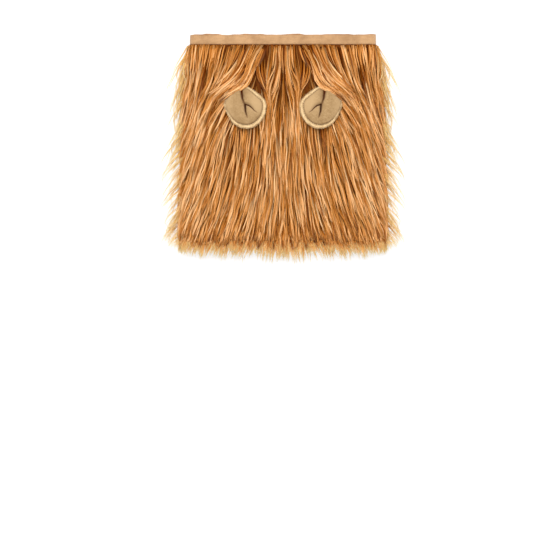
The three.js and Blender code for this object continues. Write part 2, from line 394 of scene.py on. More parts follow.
class Nodes:
    """A material's node tree, with short calls that add and join its nodes."""

    def __init__(self, name: str) -> None:
        """Make the material.

        Args:
            name: Name of the material.
        """
        self.material = bpy.data.materials.new(name)
        self.material.use_nodes = True
        self.tree = self.material.node_tree
        self.shader = self.tree.nodes["Principled BSDF"]

    def add(self, kind: str, inputs: dict | None = None, **values: object) -> bpy.types.Node:
        """Add a node.

        Args:
            kind: Blender's node type, without its ShaderNode prefix.
            inputs: Values or sockets for the node's inputs, by name or number.
            **values: The node's own settings.

        Returns:
            The new node.
        """
        node = self.tree.nodes.new("ShaderNode" + kind)
        for key, value in values.items():
            setattr(node, key, value)
        for key, value in (inputs or {}).items():
            self.feed(node.inputs[key], value)
        return node

    def feed(self, socket: bpy.types.NodeSocket, value: object) -> None:
        """Join a socket to another one, or set its value.

        Args:
            socket: The input to feed.
            value: An output socket, or a plain value.
        """
        if isinstance(value, bpy.types.NodeSocket):
            self.tree.links.new(value, socket)
        else:
            socket.default_value = value

    def places(self, scale: Point = (1, 1, 1)) -> bpy.types.NodeSocket:
        """Give the surface's places in the object, stretched by a scale.

        Args:
            scale: How many times finer the pattern gets along X, Y and Z.

        Returns:
            A vector output.
        """
        coordinates = self.add("TexCoord")
        mapping = self.add("Mapping", {"Vector": coordinates.outputs["Object"], "Scale": scale})
        return mapping.outputs["Vector"]

    def noise(
        self,
        detail: float,
        scale: float = 1.0,
        stretch: Point = (1, 1, 1),
        roughness: float = 0.5,
        distortion: float = 0.0,
    ) -> bpy.types.NodeSocket:
        """Add a cloudy pattern.

        Args:
            detail: How many finer layers it has.
            scale: How fine it is.
            stretch: How many times finer it gets along X, Y and Z.
            roughness: How strong its finer layers are.
            distortion: How much it swirls.

        Returns:
            A number output.
        """
        values = {"Vector": self.places(stretch), "Scale": scale, "Detail": detail}
        values.update({"Roughness": roughness, "Distortion": distortion})
        return self.add("TexNoise", values).outputs["Fac"]

    def wave(self, places: object, across: str, distortion: float = 0.0) -> bpy.types.NodeSocket:
        """Add a pattern of bands.

        Args:
            places: The output that gives the places.
            across: Blender's word for the direction in which band follows band.
            distortion: How much the bands wander.

        Returns:
            A number output.
        """
        values = {"Vector": places, "Scale": 1.0, "Distortion": distortion}
        return self.add("TexWave", values, bands_direction=across).outputs["Fac"]

    def reckon(self, operation: str, first: object, second: object) -> bpy.types.NodeSocket:
        """Combine two numbers.

        Args:
            operation: Blender's name of the calculation.
            first: The first number.
            second: The second number.

        Returns:
            A number output.
        """
        return self.add("Math", {0: first, 1: second}, operation=operation).outputs[0]

    def fade(
        self, value: object, places: tuple[float, float], shares: tuple[float, float]
    ) -> bpy.types.NodeSocket:
        """Turn a value into a share that changes evenly between two places.

        Args:
            value: The output that gives the place.
            places: Where the change starts and ends.
            shares: The shares there.

        Returns:
            A number output.
        """
        values = {"Value": value, "From Min": places[0], "From Max": places[1]}
        values.update({"To Min": shares[0], "To Max": shares[1]})
        return self.add("MapRange", values).outputs["Result"]

    def ramp(self, value: object, stops: Sequence[tuple[float, Sequence[float]]]) -> object:
        """Turn a value into colours.

        Args:
            value: The output that picks the colour.
            stops: Positions from 0 to 1 with their colours, at least two.

        Returns:
            A colour output.
        """
        node = self.add("ValToRGB", {"Fac": value})
        elements = node.color_ramp.elements
        while len(elements) < len(stops):
            elements.new(0.5)
        for element, (position, tint) in zip(elements, stops):
            element.position = position
            element.color = (*tint, 1.0)
        return node.outputs["Color"]

    def mix(self, blend: str, share: object, first: object, second: object) -> object:
        """Mix two colours.

        Args:
            blend: Blender's blend type.
            share: How much of the second colour is taken, from 0 to 1.
            first: The lower colour.
            second: The upper colour.

        Returns:
            A colour output.
        """
        node = self.add("Mix", data_type="RGBA", blend_type=blend)
        self.feed(node.inputs[0], share)
        self.feed(node.inputs[6], first)
        self.feed(node.inputs[7], second)
        return node.outputs[2]

    def stain(
        self, cloth: object, share: float, pattern: object, *stops: tuple[float, Point]
    ) -> object:
        """Darken a colour by a pattern.

        Args:
            cloth: The colour.
            share: How strongly, from 0 to 1.
            pattern: The output that gives the pattern.
            *stops: Values of the pattern with the tints that they multiply by.

        Returns:
            A colour output.
        """
        return self.mix("MULTIPLY", share, cloth, self.ramp(pattern, stops))

    def base(self, tint: object) -> None:
        """Colour the surface.

        Args:
            tint: A colour, or the output that gives it.
        """
        self.feed(self.shader.inputs["Base Color"], tint)

    def bump(self, height: object, distance: float, strength: float = 1.0) -> None:
        """Raise a relief on the surface.

        Args:
            height: The output that gives the height.
            distance: Height of the relief in metres.
            strength: How much of it is shown.
        """
        values = {"Height": height, "Distance": distance, "Strength": strength}
        node = self.add("Bump", values)
        self.feed(self.shader.inputs["Normal"], node.outputs["Normal"])

    def surface(self, **values: float) -> None:
        """Set plain numbers of the shader.

        Args:
            **values: Numbers by the socket's name, with underscores for its spaces.
        """
        for key, value in values.items():
            self.shader.inputs[key.replace("_", " ")].default_value = value


def colour(red: int, green: int, blue: int) -> Point:
    """Turn a colour as a screen shows it into the light that Blender works with.

    Args:
        red: From 0 to 255.
        green: From 0 to 255.
        blue: From 0 to 255.

    Returns:
        The same colour in linear light.
    """

    def linear(level: int) -> float:
        share = level / 255
        return share / 12.92 if share <= 0.04045 else ((share + 0.055) / 1.055) ** 2.4

    return linear(red), linear(green), linear(blue)


def grey(level: float) -> Point:
    """Give a neutral tint.

    Args:
        level: Its lightness from 0 to 1.

    Returns:
        The tint.
    """
    return (level, level, level)


@dataclass(frozen=True)
class Finish:
    """What a surface looks like. The material is made once and shared."""

    name: str

    def material(self) -> bpy.types.Material:
        """Give the finish's material, and make it at its first use.

        Returns:
            The material.
        """
        found = bpy.data.materials.get(self.name)
        if found is None:
            nodes = Nodes(self.name)
            self.paint(nodes)
            found = nodes.material
        return found

    def paint(self, nodes: Nodes) -> None:
        """Build the finish's nodes.

        Args:
            nodes: The new material's tree.
        """
        raise NotImplementedError


@dataclass(frozen=True)
class HairFinish(Finish):
    """Silky fibres. Each hair keeps to one tone, is darker at its root with painted shade, and
    paler at its tip.
    """

    tones: tuple[Point, ...]
    tip: Point
    tip_share: float
    root_shade: float = 0.35
    tip_from: float = 0.45
    tip_full: float = 1.0

    def paint(self, nodes: Nodes) -> None:
        """Colour a hair by its own stripe of the map: tone across, root to tip along.

        Args:
            nodes: The new material's tree.
        """
        stripe = nodes.add("UVMap", uv_map=HAIR_MAP).outputs["UV"]
        parts = nodes.add("SeparateXYZ", {"Vector": stripe}).outputs
        steps = len(self.tones) - 1
        tone = nodes.ramp(parts["X"], [(i / steps, c) for i, c in enumerate(self.tones)])
        # Painted shade: the root's part of each hair is darkened, as if it lay in the pile's shade.
        dim = self.root_shade
        shades = ((0.0, grey(dim)), (0.35, grey(0.5 + dim / 2)), (0.6, WHITE), (1.0, WHITE))
        base_colour = nodes.stain(tone, 1.0, parts["Y"], *shades)
        paling = ((self.tip_from, grey(0.0)), (self.tip_full, grey(self.tip_share)))
        nodes.base(nodes.mix("MIX", nodes.ramp(parts["Y"], paling), base_colour, (*self.tip, 1.0)))
        nodes.surface(Roughness=0.7, Specular_IOR_Level=0.0)


@dataclass(frozen=True)
class BedFinish(Finish):
    """The dense roots of the pile, streaked along the tube and furrowed, and coloured as dark as
    the shade deep in the pile: painted shade.
    """

    deep: Point
    light: Point

    def paint(self, nodes: Nodes) -> None:
        """Streak the bed along the tube.

        Args:
            nodes: The new material's tree.
        """
        streaks = nodes.noise(4.0, stretch=(420, 34, 420), roughness=0.6)
        nodes.base(nodes.ramp(streaks, [(0.32, self.deep), (0.72, self.light)]))
        nodes.surface(Roughness=0.9, Specular_IOR_Level=0.0)
        nodes.bump(streaks, 1.2 * MM)


@dataclass(frozen=True)
class WovenFinish(Finish):
    """Plain woven cloth, with painted shade in a darker line where it is sewn to the pelt and along
    its top edge.
    """

    light: Point
    dark: Point
    thread: float
    seam_y: float
    edge_y: float
    seam_width: float = 1.6 * MM
    seam_shade: tuple[float, ...] = (0.42, 0.3, 0.2, 1.0)
    edge_shade: tuple[float, ...] = (0.6, 0.42, 0.27, 1.0)

    def paint(self, nodes: Nodes) -> None:
        """Cross two sets of threads, and add slubs, soiling, and painted shade along the seam and
        the top edge.

        Args:
            nodes: The new material's tree.
        """
        turns = 1 / (2 * self.thread)
        fine = nodes.places((turns, turns, turns))
        crossed = nodes.reckon("ADD", nodes.wave(fine, "X", 0.6), nodes.wave(fine, "Y", 0.6))
        weave = nodes.reckon("MULTIPLY", crossed, 0.5)
        cloth = nodes.ramp(weave, [(0.1, self.dark), (0.65, self.light)])
        slubs = nodes.noise(5.0, stretch=(90, 500, 90))
        streaked = nodes.stain(cloth, 0.45, slubs, (0.3, grey(0.72)), (0.62, WHITE))
        blotches = nodes.noise(3.0, scale=55.0)
        worn = nodes.stain(streaked, 0.9, blotches, (0.35, (0.74, 0.7, 0.65)), (0.62, WHITE))
        height = nodes.add("SeparateXYZ", {"Vector": nodes.places()}).outputs["Y"]
        # Painted shade: darker along the seam with the pelt and along the band's top edge.
        seam = (self.seam_y, self.seam_y + self.seam_width)
        sewn = nodes.mix("MULTIPLY", nodes.fade(height, seam, (0.75, 0.0)), worn, self.seam_shade)
        edge = (self.edge_y - self.seam_width, self.edge_y + 0.5 * self.seam_width)
        top_edge_shade_share = nodes.fade(height, edge, (0.0, 0.6))
        nodes.base(nodes.mix("MULTIPLY", top_edge_shade_share, sewn, self.edge_shade))
        nodes.surface(Roughness=0.85, Specular_IOR_Level=0.25, Sheen_Weight=0.2)
        nodes.bump(weave, 0.12 * MM)


@dataclass(frozen=True)
class KnitFinish(Finish):
    """The fur cloth's knitted back: fine ribs along the tube, made of small loops."""

    light: Point
    dark: Point
    rib: float = 1.5 * MM

    def paint(self, nodes: Nodes) -> None:
        """Cross ribs with loops and blotch the dye.

        Args:
            nodes: The new material's tree.
        """
        turns = 1 / (2 * self.rib)
        spots = nodes.places((turns, turns * 1.5, turns))
        knit = nodes.reckon("MULTIPLY", nodes.wave(spots, "X", 1.2), nodes.wave(spots, "Y", 1.5))
        cloth = nodes.ramp(knit, [(0.0, self.dark), (0.6, self.light)])
        dye = nodes.noise(4.0, scale=40.0)
        nodes.base(nodes.stain(cloth, 0.5, dye, (0.3, grey(0.7)), (0.7, WHITE)))
        nodes.surface(Roughness=0.9, Specular_IOR_Level=0.2, Sheen_Weight=0.15)
        nodes.bump(knit, 0.3 * MM)


@dataclass(frozen=True)
class FeltFinish(Finish):
    """Short plush: matted fibres in a mottled dye, with painted shade in its creases, and a soft
    sheen.
    """

    light: Point
    dark: Point
    # Painted shade for the folds, the groove and the panel's hem, with some matted nap.
    crease: Point = colour(66, 24, 2)
    bloom: Point = colour(187, 155, 113)

    def paint(self, nodes: Nodes) -> None:
        """Mat the fibres and mottle the dye.

        Args:
            nodes: The new material's tree.
        """
        fibres = nodes.noise(6.0, stretch=(560, 430, 560), roughness=0.7, distortion=1.4)
        nap = nodes.ramp(fibres, [(0.28, self.dark), (0.7, self.light)])
        mottle = nodes.noise(4.0, scale=130.0)
        base_colour = nodes.stain(nap, 0.6, mottle, (0.35, (0.76, 0.72, 0.66)), (0.6, WHITE))
        bloom = nodes.add("Attribute", attribute_name="bloom").outputs["Fac"]
        raised = nodes.mix("MIX", bloom, base_colour, (*self.bloom, 1.0))
        # Painted shade where the crease attribute is marked.
        crease = nodes.add("Attribute", attribute_name="crease").outputs["Fac"]
        nodes.base(nodes.mix("MIX", crease, raised, (*self.crease, 1.0)))
        nodes.shader.inputs["Sheen Tint"].default_value = (0.9, 0.72, 0.5, 1.0)
        nodes.surface(Roughness=0.95, Specular_IOR_Level=0.04, Sheen_Weight=0.1)
        nodes.bump(fibres, 0.45 * MM)


@dataclass(frozen=True)
class ThreadFinish(Finish):
    """Sewing thread, twisted."""

    light: Point
    dark: Point

    def paint(self, nodes: Nodes) -> None:
        """Twist the thread with fine slanted bands.

        Args:
            nodes: The new material's tree.
        """
        twist = nodes.wave(nodes.places((1500, 1500, 1500)), "DIAGONAL")
        nodes.base(nodes.ramp(twist, [(0.2, self.dark), (0.8, self.light)]))
        nodes.surface(Roughness=0.6)
        nodes.bump(twist, 0.08 * MM)


@dataclass(frozen=True)
class FloorFinish(Finish):
    """A plain pale studio floor, lit from below as a light table is, so that shadows stay faint."""

    tint: Point = (0.4, 0.4, 0.4)
    glow: float = 0.66

    def paint(self, nodes: Nodes) -> None:
        """Keep the floor matt and plain.

        Args:
            nodes: The new material's tree.
        """
        nodes.base((*self.tint, 1.0))
        nodes.shader.inputs["Emission Color"].default_value = (*WHITE, 1.0)
        nodes.surface(Roughness=0.9, Specular_IOR_Level=0.1, Emission_Strength=self.glow)


CARAMEL_TONES = (
    colour(76, 22, 0),
    colour(132, 62, 10),
    colour(187, 110, 35),
    colour(217, 146, 73),
    colour(241, 180, 118),
    colour(250, 200, 143),
)
# The fringe's and the wisps' hair is paler than the coat's: painted light where they lie in the
# coat's shade.
PALE_TONES = (colour(212, 128, 48), colour(234, 156, 76), colour(248, 184, 106))
WISP_TONES = (colour(230, 164, 78), colour(246, 192, 106), colour(253, 214, 138))
NAP_TONES = (colour(190, 152, 104), colour(228, 198, 150))
COAT = HairFinish("caramel_hair", CARAMEL_TONES, colour(250, 200, 143), tip_share=0.15)
WISPS = HairFinish(
    "pale_wisps", WISP_TONES, colour(255, 236, 184),
    tip_share=0.92, root_shade=0.9, tip_from=0.16, tip_full=0.85,
)
FRINGE = HairFinish(
    "hem_fringe", PALE_TONES, colour(255, 229, 162),
    tip_share=0.95, root_shade=0.85, tip_from=0.4, tip_full=0.9,
)
# The bed's dark browns are painted shade of the deep pile.
BED = BedFinish("pile_roots", colour(62, 24, 6), colour(122, 66, 24))
KNIT = KnitFinish("knitted_backing", colour(200, 152, 100), colour(146, 100, 58))
EAR_FELT = FeltFinish("ear_plush", colour(186, 154, 112), colour(134, 104, 66))
RIM_FELT = FeltFinish("ear_rim_plush", colour(250, 220, 172), colour(168, 134, 88))
NAP = HairFinish("ear_nap", NAP_TONES, colour(244, 220, 178), tip_share=0.6, root_shade=0.8)
THREAD = ThreadFinish("ear_thread", colour(150, 112, 66), colour(96, 64, 34))
FLOOR = FloorFinish("studio_floor")


# The mane's frame


@dataclass(frozen=True)
class ManeFrame:
    """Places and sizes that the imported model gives, in metres."""

    seam_y: float
    hem_y: float
    band_top_y: float
    seam_half: float
    hem_half: float
    middle_z: float
    backing_radius: float
    pile_gap: float = 0.3 * MM
    pile_bed: float = 5 * MM

    @classmethod
    def read(cls) -> "ManeFrame":
        """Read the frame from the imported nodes' boxes.

        Returns:
            The frame.
        """
        low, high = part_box("backing_tube")
        band_low, band_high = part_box("neck_band")
        radius = (high[2] - low[2]) / 2
        band_wall_extra = (band_high[2] - band_low[2]) / 2 - radius
        return cls(
            seam_y=high[1],
            hem_y=low[1],
            band_top_y=band_high[1],
            seam_half=band_high[0] - band_wall_extra,
            hem_half=high[0],
            middle_z=(low[2] + high[2]) / 2,
            backing_radius=radius,
        )

    @property
    def bed_radius(self) -> float:
        """Distance from the tube's middle plane to the outside of the pile bed."""
        return self.backing_radius + self.pile_gap + self.pile_bed

    @property
    def bed_top(self) -> float:
        """Height of the pile bed's upper side."""
        return self.middle_z + self.bed_radius

    def half_width(self, y: Array) -> Array:
        """Half the width of the flattened tube.

        Args:
            y: Places along the tube.

        Returns:
            The half width at each.
        """
        share = np.clip((self.seam_y - y) / (self.seam_y - self.hem_y), 0, 1)
        return between((self.seam_half, self.hem_half), share)

    def girth_place(self, w: Array, y: Array, radius: float) -> tuple[Array, Array]:
        """Walk round the flattened tube at a distance from its middle.

        Args:
            w: Distance walked round from the top's middle line, negative to the left.
            y: Places along the tube.
            radius: Distance of the walked surface from the tube's middle plane.

        Returns:
            Points and outward normals.
        """
        reach = self.half_width(y) - self.backing_radius
        walked, side = np.abs(w), np.where(w < 0, -1.0, 1.0)
        turn = np.clip((walked - reach) / radius, 0, np.pi)
        past = np.maximum(walked - reach - np.pi * radius, 0)
        flat = np.minimum(walked, reach) - past
        x = side * (flat + radius * np.sin(turn))
        z = self.middle_z + radius * np.cos(turn)
        normals = np.stack([side * np.sin(turn), np.zeros_like(turn), np.cos(turn)], -1)
        return np.stack([x, y + 0 * x, z], -1), normals

    def quarter_girth(self, y: Array, radius: float) -> Array:
        """Distance round the tube from the top's middle line to the middle of a side fold.

        Args:
            y: Places along the tube.
            radius: Distance of the walked surface from the tube's middle plane.

        Returns:
            The distance at each place.
        """
        return self.half_width(y) - self.backing_radius + np.pi * radius / 2


# Ears


@dataclass(frozen=True)
class EarShape:
    """Outline and place of an ear.

    Its own frame has the sewn top along +Y, as the left ear lies.
    """

    frame: ManeFrame
    radius: float = 35 * MM
    # How far out the edge is: degrees from +X, and shares of the radius.
    edge: tuple[tuple[float, float], ...] = (
        (-55, 1.02), (-33, 1.01), (-13, 0.995), (14, 1.015), (25, 0.96), (41, 0.89), (64, 0.9),
        (85, 1.04), (105, 0.98), (130, 0.94), (152, 0.99), (167, 1.03), (188, 0.92),
        (208, 0.885), (225, 0.925), (239, 0.965), (263, 1.02), (285, 1.05),
    )
    spacing: float = 125 * MM
    drop: float = 121.2 * MM
    turn: float = 2.0
    tip_lift: float = 8.0
    rest: float = 8 * MM
    wall: float = 3 * MM
    area: float = 0.0037
    # Share of the radius at which hair slips under the sewn top, and how steeply it rises there.
    tucked: float = 0.93
    rise_beside: float = 1.1
    # How a lock clears the ear: over its rim, over its puffed middle, and its slope beside it.
    over_rim: float = 0.5 * MM
    over_puff: float = 6.8 * MM
    slope_beside: float = 0.55
    rim: float = 6.6 * MM
    # How much of the rim shows: degrees from +X, and shares of its width.
    rim_shown: tuple[tuple[float, float], ...] = (
        (-60, 1.0), (0, 1.0), (40, 0.9), (75, 0.8), (105, 0.45), (140, 0.32), (170, 0.32),
        (200, 0.38), (228, 0.66), (255, 0.92), (280, 1.0),
    )

    def rim_width(self, angle: Array) -> Array:
        """Width of the rim that shows beside the inner panel.

        Args:
            angle: Angles in radians.

        Returns:
            The width at each.
        """
        turns, shares = np.array(self.rim_shown).T
        return self.rim * np.interp(np.degrees(angle), turns, shares, period=360)

    def outline(self, count: int) -> Array:
        """Lay points round the ear at even steps of its angle, from its right middle.

        Args:
            count: Number of points.

        Returns:
            Plan points of two columns.
        """
        angle = np.linspace(0, 360, count, endpoint=False)
        turns, shares = np.array(self.edge).T
        blur = (-8, -4, 0, 4, 8)
        share = sum(np.interp(angle + b, turns, shares, period=360) for b in blur) / len(blur)
        aim = np.stack([np.cos(np.radians(angle)), np.sin(np.radians(angle))], -1)
        return aim * (share * self.radius)[:, None]

    def centre(self, side: Side) -> Vector:
        """Place of the ear's middle, at its underside.

        Args:
            side: Which ear.

        Returns:
            The place.
        """
        z = self.frame.bed_top + self.rest - self.wall / 2
        return Vector((side.value * self.spacing / 2, self.frame.band_top_y - self.drop, z))

    def to_world(self, points: Array, side: Side) -> Array:
        """Lay points of the ear's own frame onto the costume.

        Args:
            points: Rows of three columns in the ear's frame.
            side: Which ear. The right ear is the left one's mirror image.

        Returns:
            The points in the costume's frame.
        """
        turn = math.radians(-side.value * self.turn)
        lift = math.radians(-self.tip_lift)
        x, y, z = points[:, 0] * -side.value, points[:, 1], points[:, 2]
        x, y = x * math.cos(turn) - y * math.sin(turn), x * math.sin(turn) + y * math.cos(turn)
        y, z = y * math.cos(lift) - z * math.sin(lift), y * math.sin(lift) + z * math.cos(lift)
        return np.stack([x, y, z], -1) + np.array(self.centre(side))

    def keep_below(self, points: Array, gap: float) -> Array:
        """Press points that would run through an ear down to its underside.

        Args:
            points: Places of hairs, with three columns last.
            gap: Clearance under the ear.

        Returns:
            The points, lowered where an ear lies over them.
        """
        pressed = points.copy()
        for side in Side:
            middle = self.centre(side)
            dx, dy = points[..., 0] - middle.x, points[..., 1] - middle.y
            away = np.hypot(dx, dy)
            edge = np.where(dy > 0, self.radius * self.tucked, self.radius)
            under = middle.z - dy * math.sin(math.radians(self.tip_lift)) - gap
            limit = under + self.rise_beside * np.maximum(away - edge, 0)
            pressed[..., 2] = np.minimum(pressed[..., 2], limit)
        return pressed

    def keep_above(self, points: Array, gap: Array) -> Array:
        """Lift points over the left ear, with an easy slope up to it.

        Args:
            points: Places of hairs, with three columns last.
            gap: Clearance over the ear for each hair.

        Returns:
            The points, raised where the ear lies under them.
        """
        middle = self.centre(Side.LEFT)
        dx, dy = points[..., 0] - middle.x, points[..., 1] - middle.y
        away = np.hypot(dx, dy)
        rim = middle.z - dy * math.sin(math.radians(self.tip_lift)) + self.wall + self.over_rim
        swell = self.over_puff * np.clip(1 - (away / (self.radius - self.rim)) ** 3, 0, 1)
        slope = self.slope_beside * np.maximum(away - self.radius, 0)
        lifted = points.copy()
        lifted[..., 2] = np.maximum(points[..., 2], rim + swell + gap - slope)
        return lifted


@dataclass(frozen=True)
class Crease:
    """A fold in the ear's inner panel.

    Its route is in shares of the ear's radius, as the left ear lies. The slopes say how far the
    surface takes to rise again on the route's right and left.
    """

    route: tuple[tuple[float, float], ...]
    depth: float
    right_slope: float
    left_slope: float
    # Width of the fold's line of painted shade.
    stain: float

    def measure(self, plan: Array, radius: float) -> tuple[Array, Array, Array]:
        """Measure points against the route.

        Args:
            plan: Plan points in the ear's frame.
            radius: The ear's radius.

        Returns:
            Distances from the route, shares of the way along it, and whether each is on its left.
        """
        knots = np.array(self.route) * radius
        starts, along = knots[:-1], np.diff(knots, axis=0)
        length = np.linalg.norm(along, axis=1)
        offset = plan[:, None] - starts
        share = np.clip((offset * along).sum(-1) / length**2, 0, 1)
        distance = np.linalg.norm(offset - share[..., None] * along, axis=-1)
        nearest, rows = distance.argmin(axis=1), np.arange(len(plan))
        walked = (np.cumsum(length) - length)[nearest] + share[rows, nearest] * length[nearest]
        turned = along[nearest, 0] * offset[rows, nearest, 1]
        turned = turned - along[nearest, 1] * offset[rows, nearest, 0]
        return distance[rows, nearest], walked / length.sum(), turned > 0

    def dip(self, plan: Array, radius: float) -> Array:
        """Depth of the fold below the puffed surface.

        Args:
            plan: Plan points in the ear's frame.
            radius: The ear's radius.

        Returns:
            How far each point is pulled down.
        """
        distance, share, is_left = self.measure(plan, radius)
        slope = np.where(is_left, self.left_slope, self.right_slope)
        fade = 1 - 0.85 * share**2
        return self.depth * fade * np.exp(-((distance / slope) ** 1.25))

    def soiling(self, plan: Array, radius: float) -> Array:
        """How far the nap in and beside the fold is darkened: painted shade, with some matted nap.

        Args:
            plan: Plan points in the ear's frame.
            radius: The ear's radius.

        Returns:
            From 0 on the open panel to 1 in the fold.
        """
        distance, share, is_left = self.measure(plan, radius)
        width = self.stain * (1 - 0.45 * share)
        line = 1.3 * np.exp(-((distance / width) ** 2)) * (1 - 0.6 * share**2)
        beside = np.exp(-distance / (0.6 * np.where(is_left, self.left_slope, self.right_slope)))
        return np.clip(np.maximum(line, 0.45 * beside * (1 - 0.9 * share)), 0, 1)


# The stem comes down from the pinched top and parts in two. Its left lobe laps over the right one,
# which slopes away softly.
CREASES = (
    Crease(
        route=((-0.15, 1.0), (-0.13, 0.6), (-0.115, 0.39), (-0.05, 0.19), (0.02, 0.07)),
        depth=8.0 * MM, right_slope=1.3 * MM, left_slope=8.5 * MM, stain=2.7 * MM,
    ),
    Crease(
        route=((0.0, 0.1), (0.19, 0.03), (0.325, -0.09), (0.425, -0.21), (0.55, -0.3)),
        depth=6.0 * MM, right_slope=1.6 * MM, left_slope=3.2 * MM, stain=1.3 * MM,
    ),
    Crease(
        route=((0.0, 0.1), (0.012, -0.24), (0.057, -0.41), (0.09, -0.54)),
        depth=6.0 * MM, right_slope=1.5 * MM, left_slope=2.0 * MM, stain=1.7 * MM,
    ),
)


@dataclass
class Ear:
    """One ear: a back panel, a puffed inner panel with its creases, stitches and the nap's edge."""

    shape: EarShape
    side: Side
    around: int = 104
    rings: int = 18
    puff: float = 5.8 * MM
    panel_gap: float = 0.3 * MM
    # Insets are shares of the rim's width.
    back_inset: float = 0.07
    groove_inset: float = 0.88
    stitch_inset: float = 0.9
    inner_inset: float = 1.0
    # The inner panel's filling: its pressure, the most it may lift the cloth, and its share.
    pressure: float = 4.0
    most_lift: float = 1.6 * MM
    fill: float = 0.35
    stitch_count: int = 54
    stitch_radius: float = 0.4 * MM
    nap_count: int = 1100
    nap_radius: float = 0.16 * MM

    def name(self, word: str) -> str:
        """Name a piece of this ear.

        Args:
            word: What the piece is.

        Returns:
            The piece's name.
        """
        return f"{self.side.word}_ear_{word}"

    def disc(self, name: str, inset: float) -> bpy.types.Object:
        """Model a flat panel: a circle extruded inwards in steps, closed and laid to the outline.

        Args:
            name: Name of the piece.
            inset: How far in the panel's edge lies, as a share of the rim.

        Returns:
            The panel in the ear's frame.
        """
        piece = circle(name, self.around)

        def step_in(ring: int) -> Callable[[], None]:
            factor = (self.rings - ring - 1) / (self.rings - ring)

            def step() -> None:
                bpy.ops.mesh.extrude_region()
                bpy.ops.transform.resize(value=(factor, factor, 1), center_override=(0, 0, 0))

            return step

        in_edit_mode(
            piece,
            *[step_in(ring) for ring in range(self.rings - 1)],
            lambda: bpy.ops.mesh.edge_face_add(),
            lambda: bpy.ops.mesh.poke(),
        )
        points = points_of(piece)
        out = 1 - (1 - np.minimum(np.hypot(points[:, 0], points[:, 1]), 1)) ** 1.15
        angle = np.arctan2(points[:, 1], points[:, 0])
        plan = self.edge_at(angle, inset) * out[:, None]
        move_points(piece, np.column_stack([plan, np.zeros(len(plan))]))
        return piece

    def edge_at(self, angle: Array, inset: float) -> Array:
        """Find a panel's edge at some angles.

        Args:
            angle: Angles in radians.
            inset: How far in the panel's edge lies, as a share of the rim.

        Returns:
            Plan points.
        """
        fine = 1440
        outline = self.shape.outline(fine)
        turn = np.linspace(0, 2 * np.pi, fine, endpoint=False)
        reach = np.linalg.norm(outline, axis=1) - inset * self.shape.rim_width(turn)
        place = (angle % (2 * np.pi)) / (2 * np.pi) * fine
        away = np.interp(place, np.arange(fine + 1), np.append(reach, reach[0]))
        return np.stack([np.cos(angle), np.sin(angle)], -1) * away[:, None]

    def from_edge(self, plan: Array, inset: float) -> Array:
        """Distance of plan points inwards from a panel's edge.

        Args:
            plan: Plan points.
            inset: How far in the panel's edge lies, as a share of the rim.

        Returns:
            The distances.
        """
        edge = self.edge_at(np.arctan2(plan[:, 1], plan[:, 0]), inset)
        return np.linalg.norm(edge, axis=1) - np.linalg.norm(plan, axis=1)

    @staticmethod
    def closed_below(piece: bpy.types.Object, bottom: float) -> None:
        """Close a domed panel with a flat underside.

        Args:
            piece: The panel.
            bottom: Height of its underside.
        """
        in_edit_mode(
            piece,
            lambda: bpy.ops.mesh.extrude_region(),
            lambda: bpy.ops.transform.resize(value=(1, 1, 0), center_override=(0, 0, bottom)),
        )
        face_outwards(piece)

    def back_panel(self) -> bpy.types.Object:
        """Model the back panel with its soft rolled rim and the groove that the stitches lie in.

        Returns:
            The panel.
        """
        piece = self.disc(self.name("back_panel"), self.back_inset)
        plan = points_of(piece)[:, :2]
        angle = np.arctan2(plan[:, 1], plan[:, 0])
        depth = np.maximum(self.from_edge(plan, self.back_inset), 0)
        round_off = np.sqrt(1 - (1 - np.minimum(depth / (2 * MM), 1)) ** 2)
        roll = 1.1 * MM * np.exp(-(((depth - 2.3 * MM) / (1.7 * MM)) ** 2))
        lumps = 0.4 * MM * ripple(angle * 9 + 1, angle * 17, angle * 31 + 2) * round_off
        pinch = 1.6 * MM * np.exp(-(((angle - np.radians(99)) / 0.11) ** 2))
        height = 1.1 * MM + (self.shape.wall - 1.2 * MM) * round_off + roll + lumps - pinch
        wobble = 0.8 * MM * ripple(angle * 13, angle * 21 + 1, angle * 34 + 2)
        plan = plan + unit(plan) * (wobble * (1 - np.minimum(depth / (4 * MM), 1)))[:, None]
        move_points(piece, np.column_stack([plan, np.maximum(height, 0.8 * MM)]))
        self.closed_below(piece, 0.1 * MM)
        apply_modifier(piece, "BEVEL", width=0.4 * MM, segments=2, limit_method="ANGLE")
        points = points_of(piece)
        # Painted shade in the groove that the stitches lie in.
        from_groove = self.from_edge(points[:, :2], self.groove_inset)
        groove = np.exp(-((from_groove / (0.9 * MM)) ** 2))
        self.mark(piece, "crease", 0.4 * groove * (points[:, 2] > 1 * MM))
        move_points(piece, self.shape.to_world(points, self.side))
        face_outwards(piece)
        shade(piece, 60)
        return piece

    @staticmethod
    def mark(piece: bpy.types.Object, name: str, values: Array) -> None:
        """Store a number at each of a panel's vertices, for its finish to read.

        Args:
            piece: The panel.
            name: Name of the attribute.
            values: Numbers from 0 to 1.
        """
        layer = piece.data.attributes.new(name, "FLOAT", "POINT")
        layer.data.foreach_set("value", values.astype(np.float32))

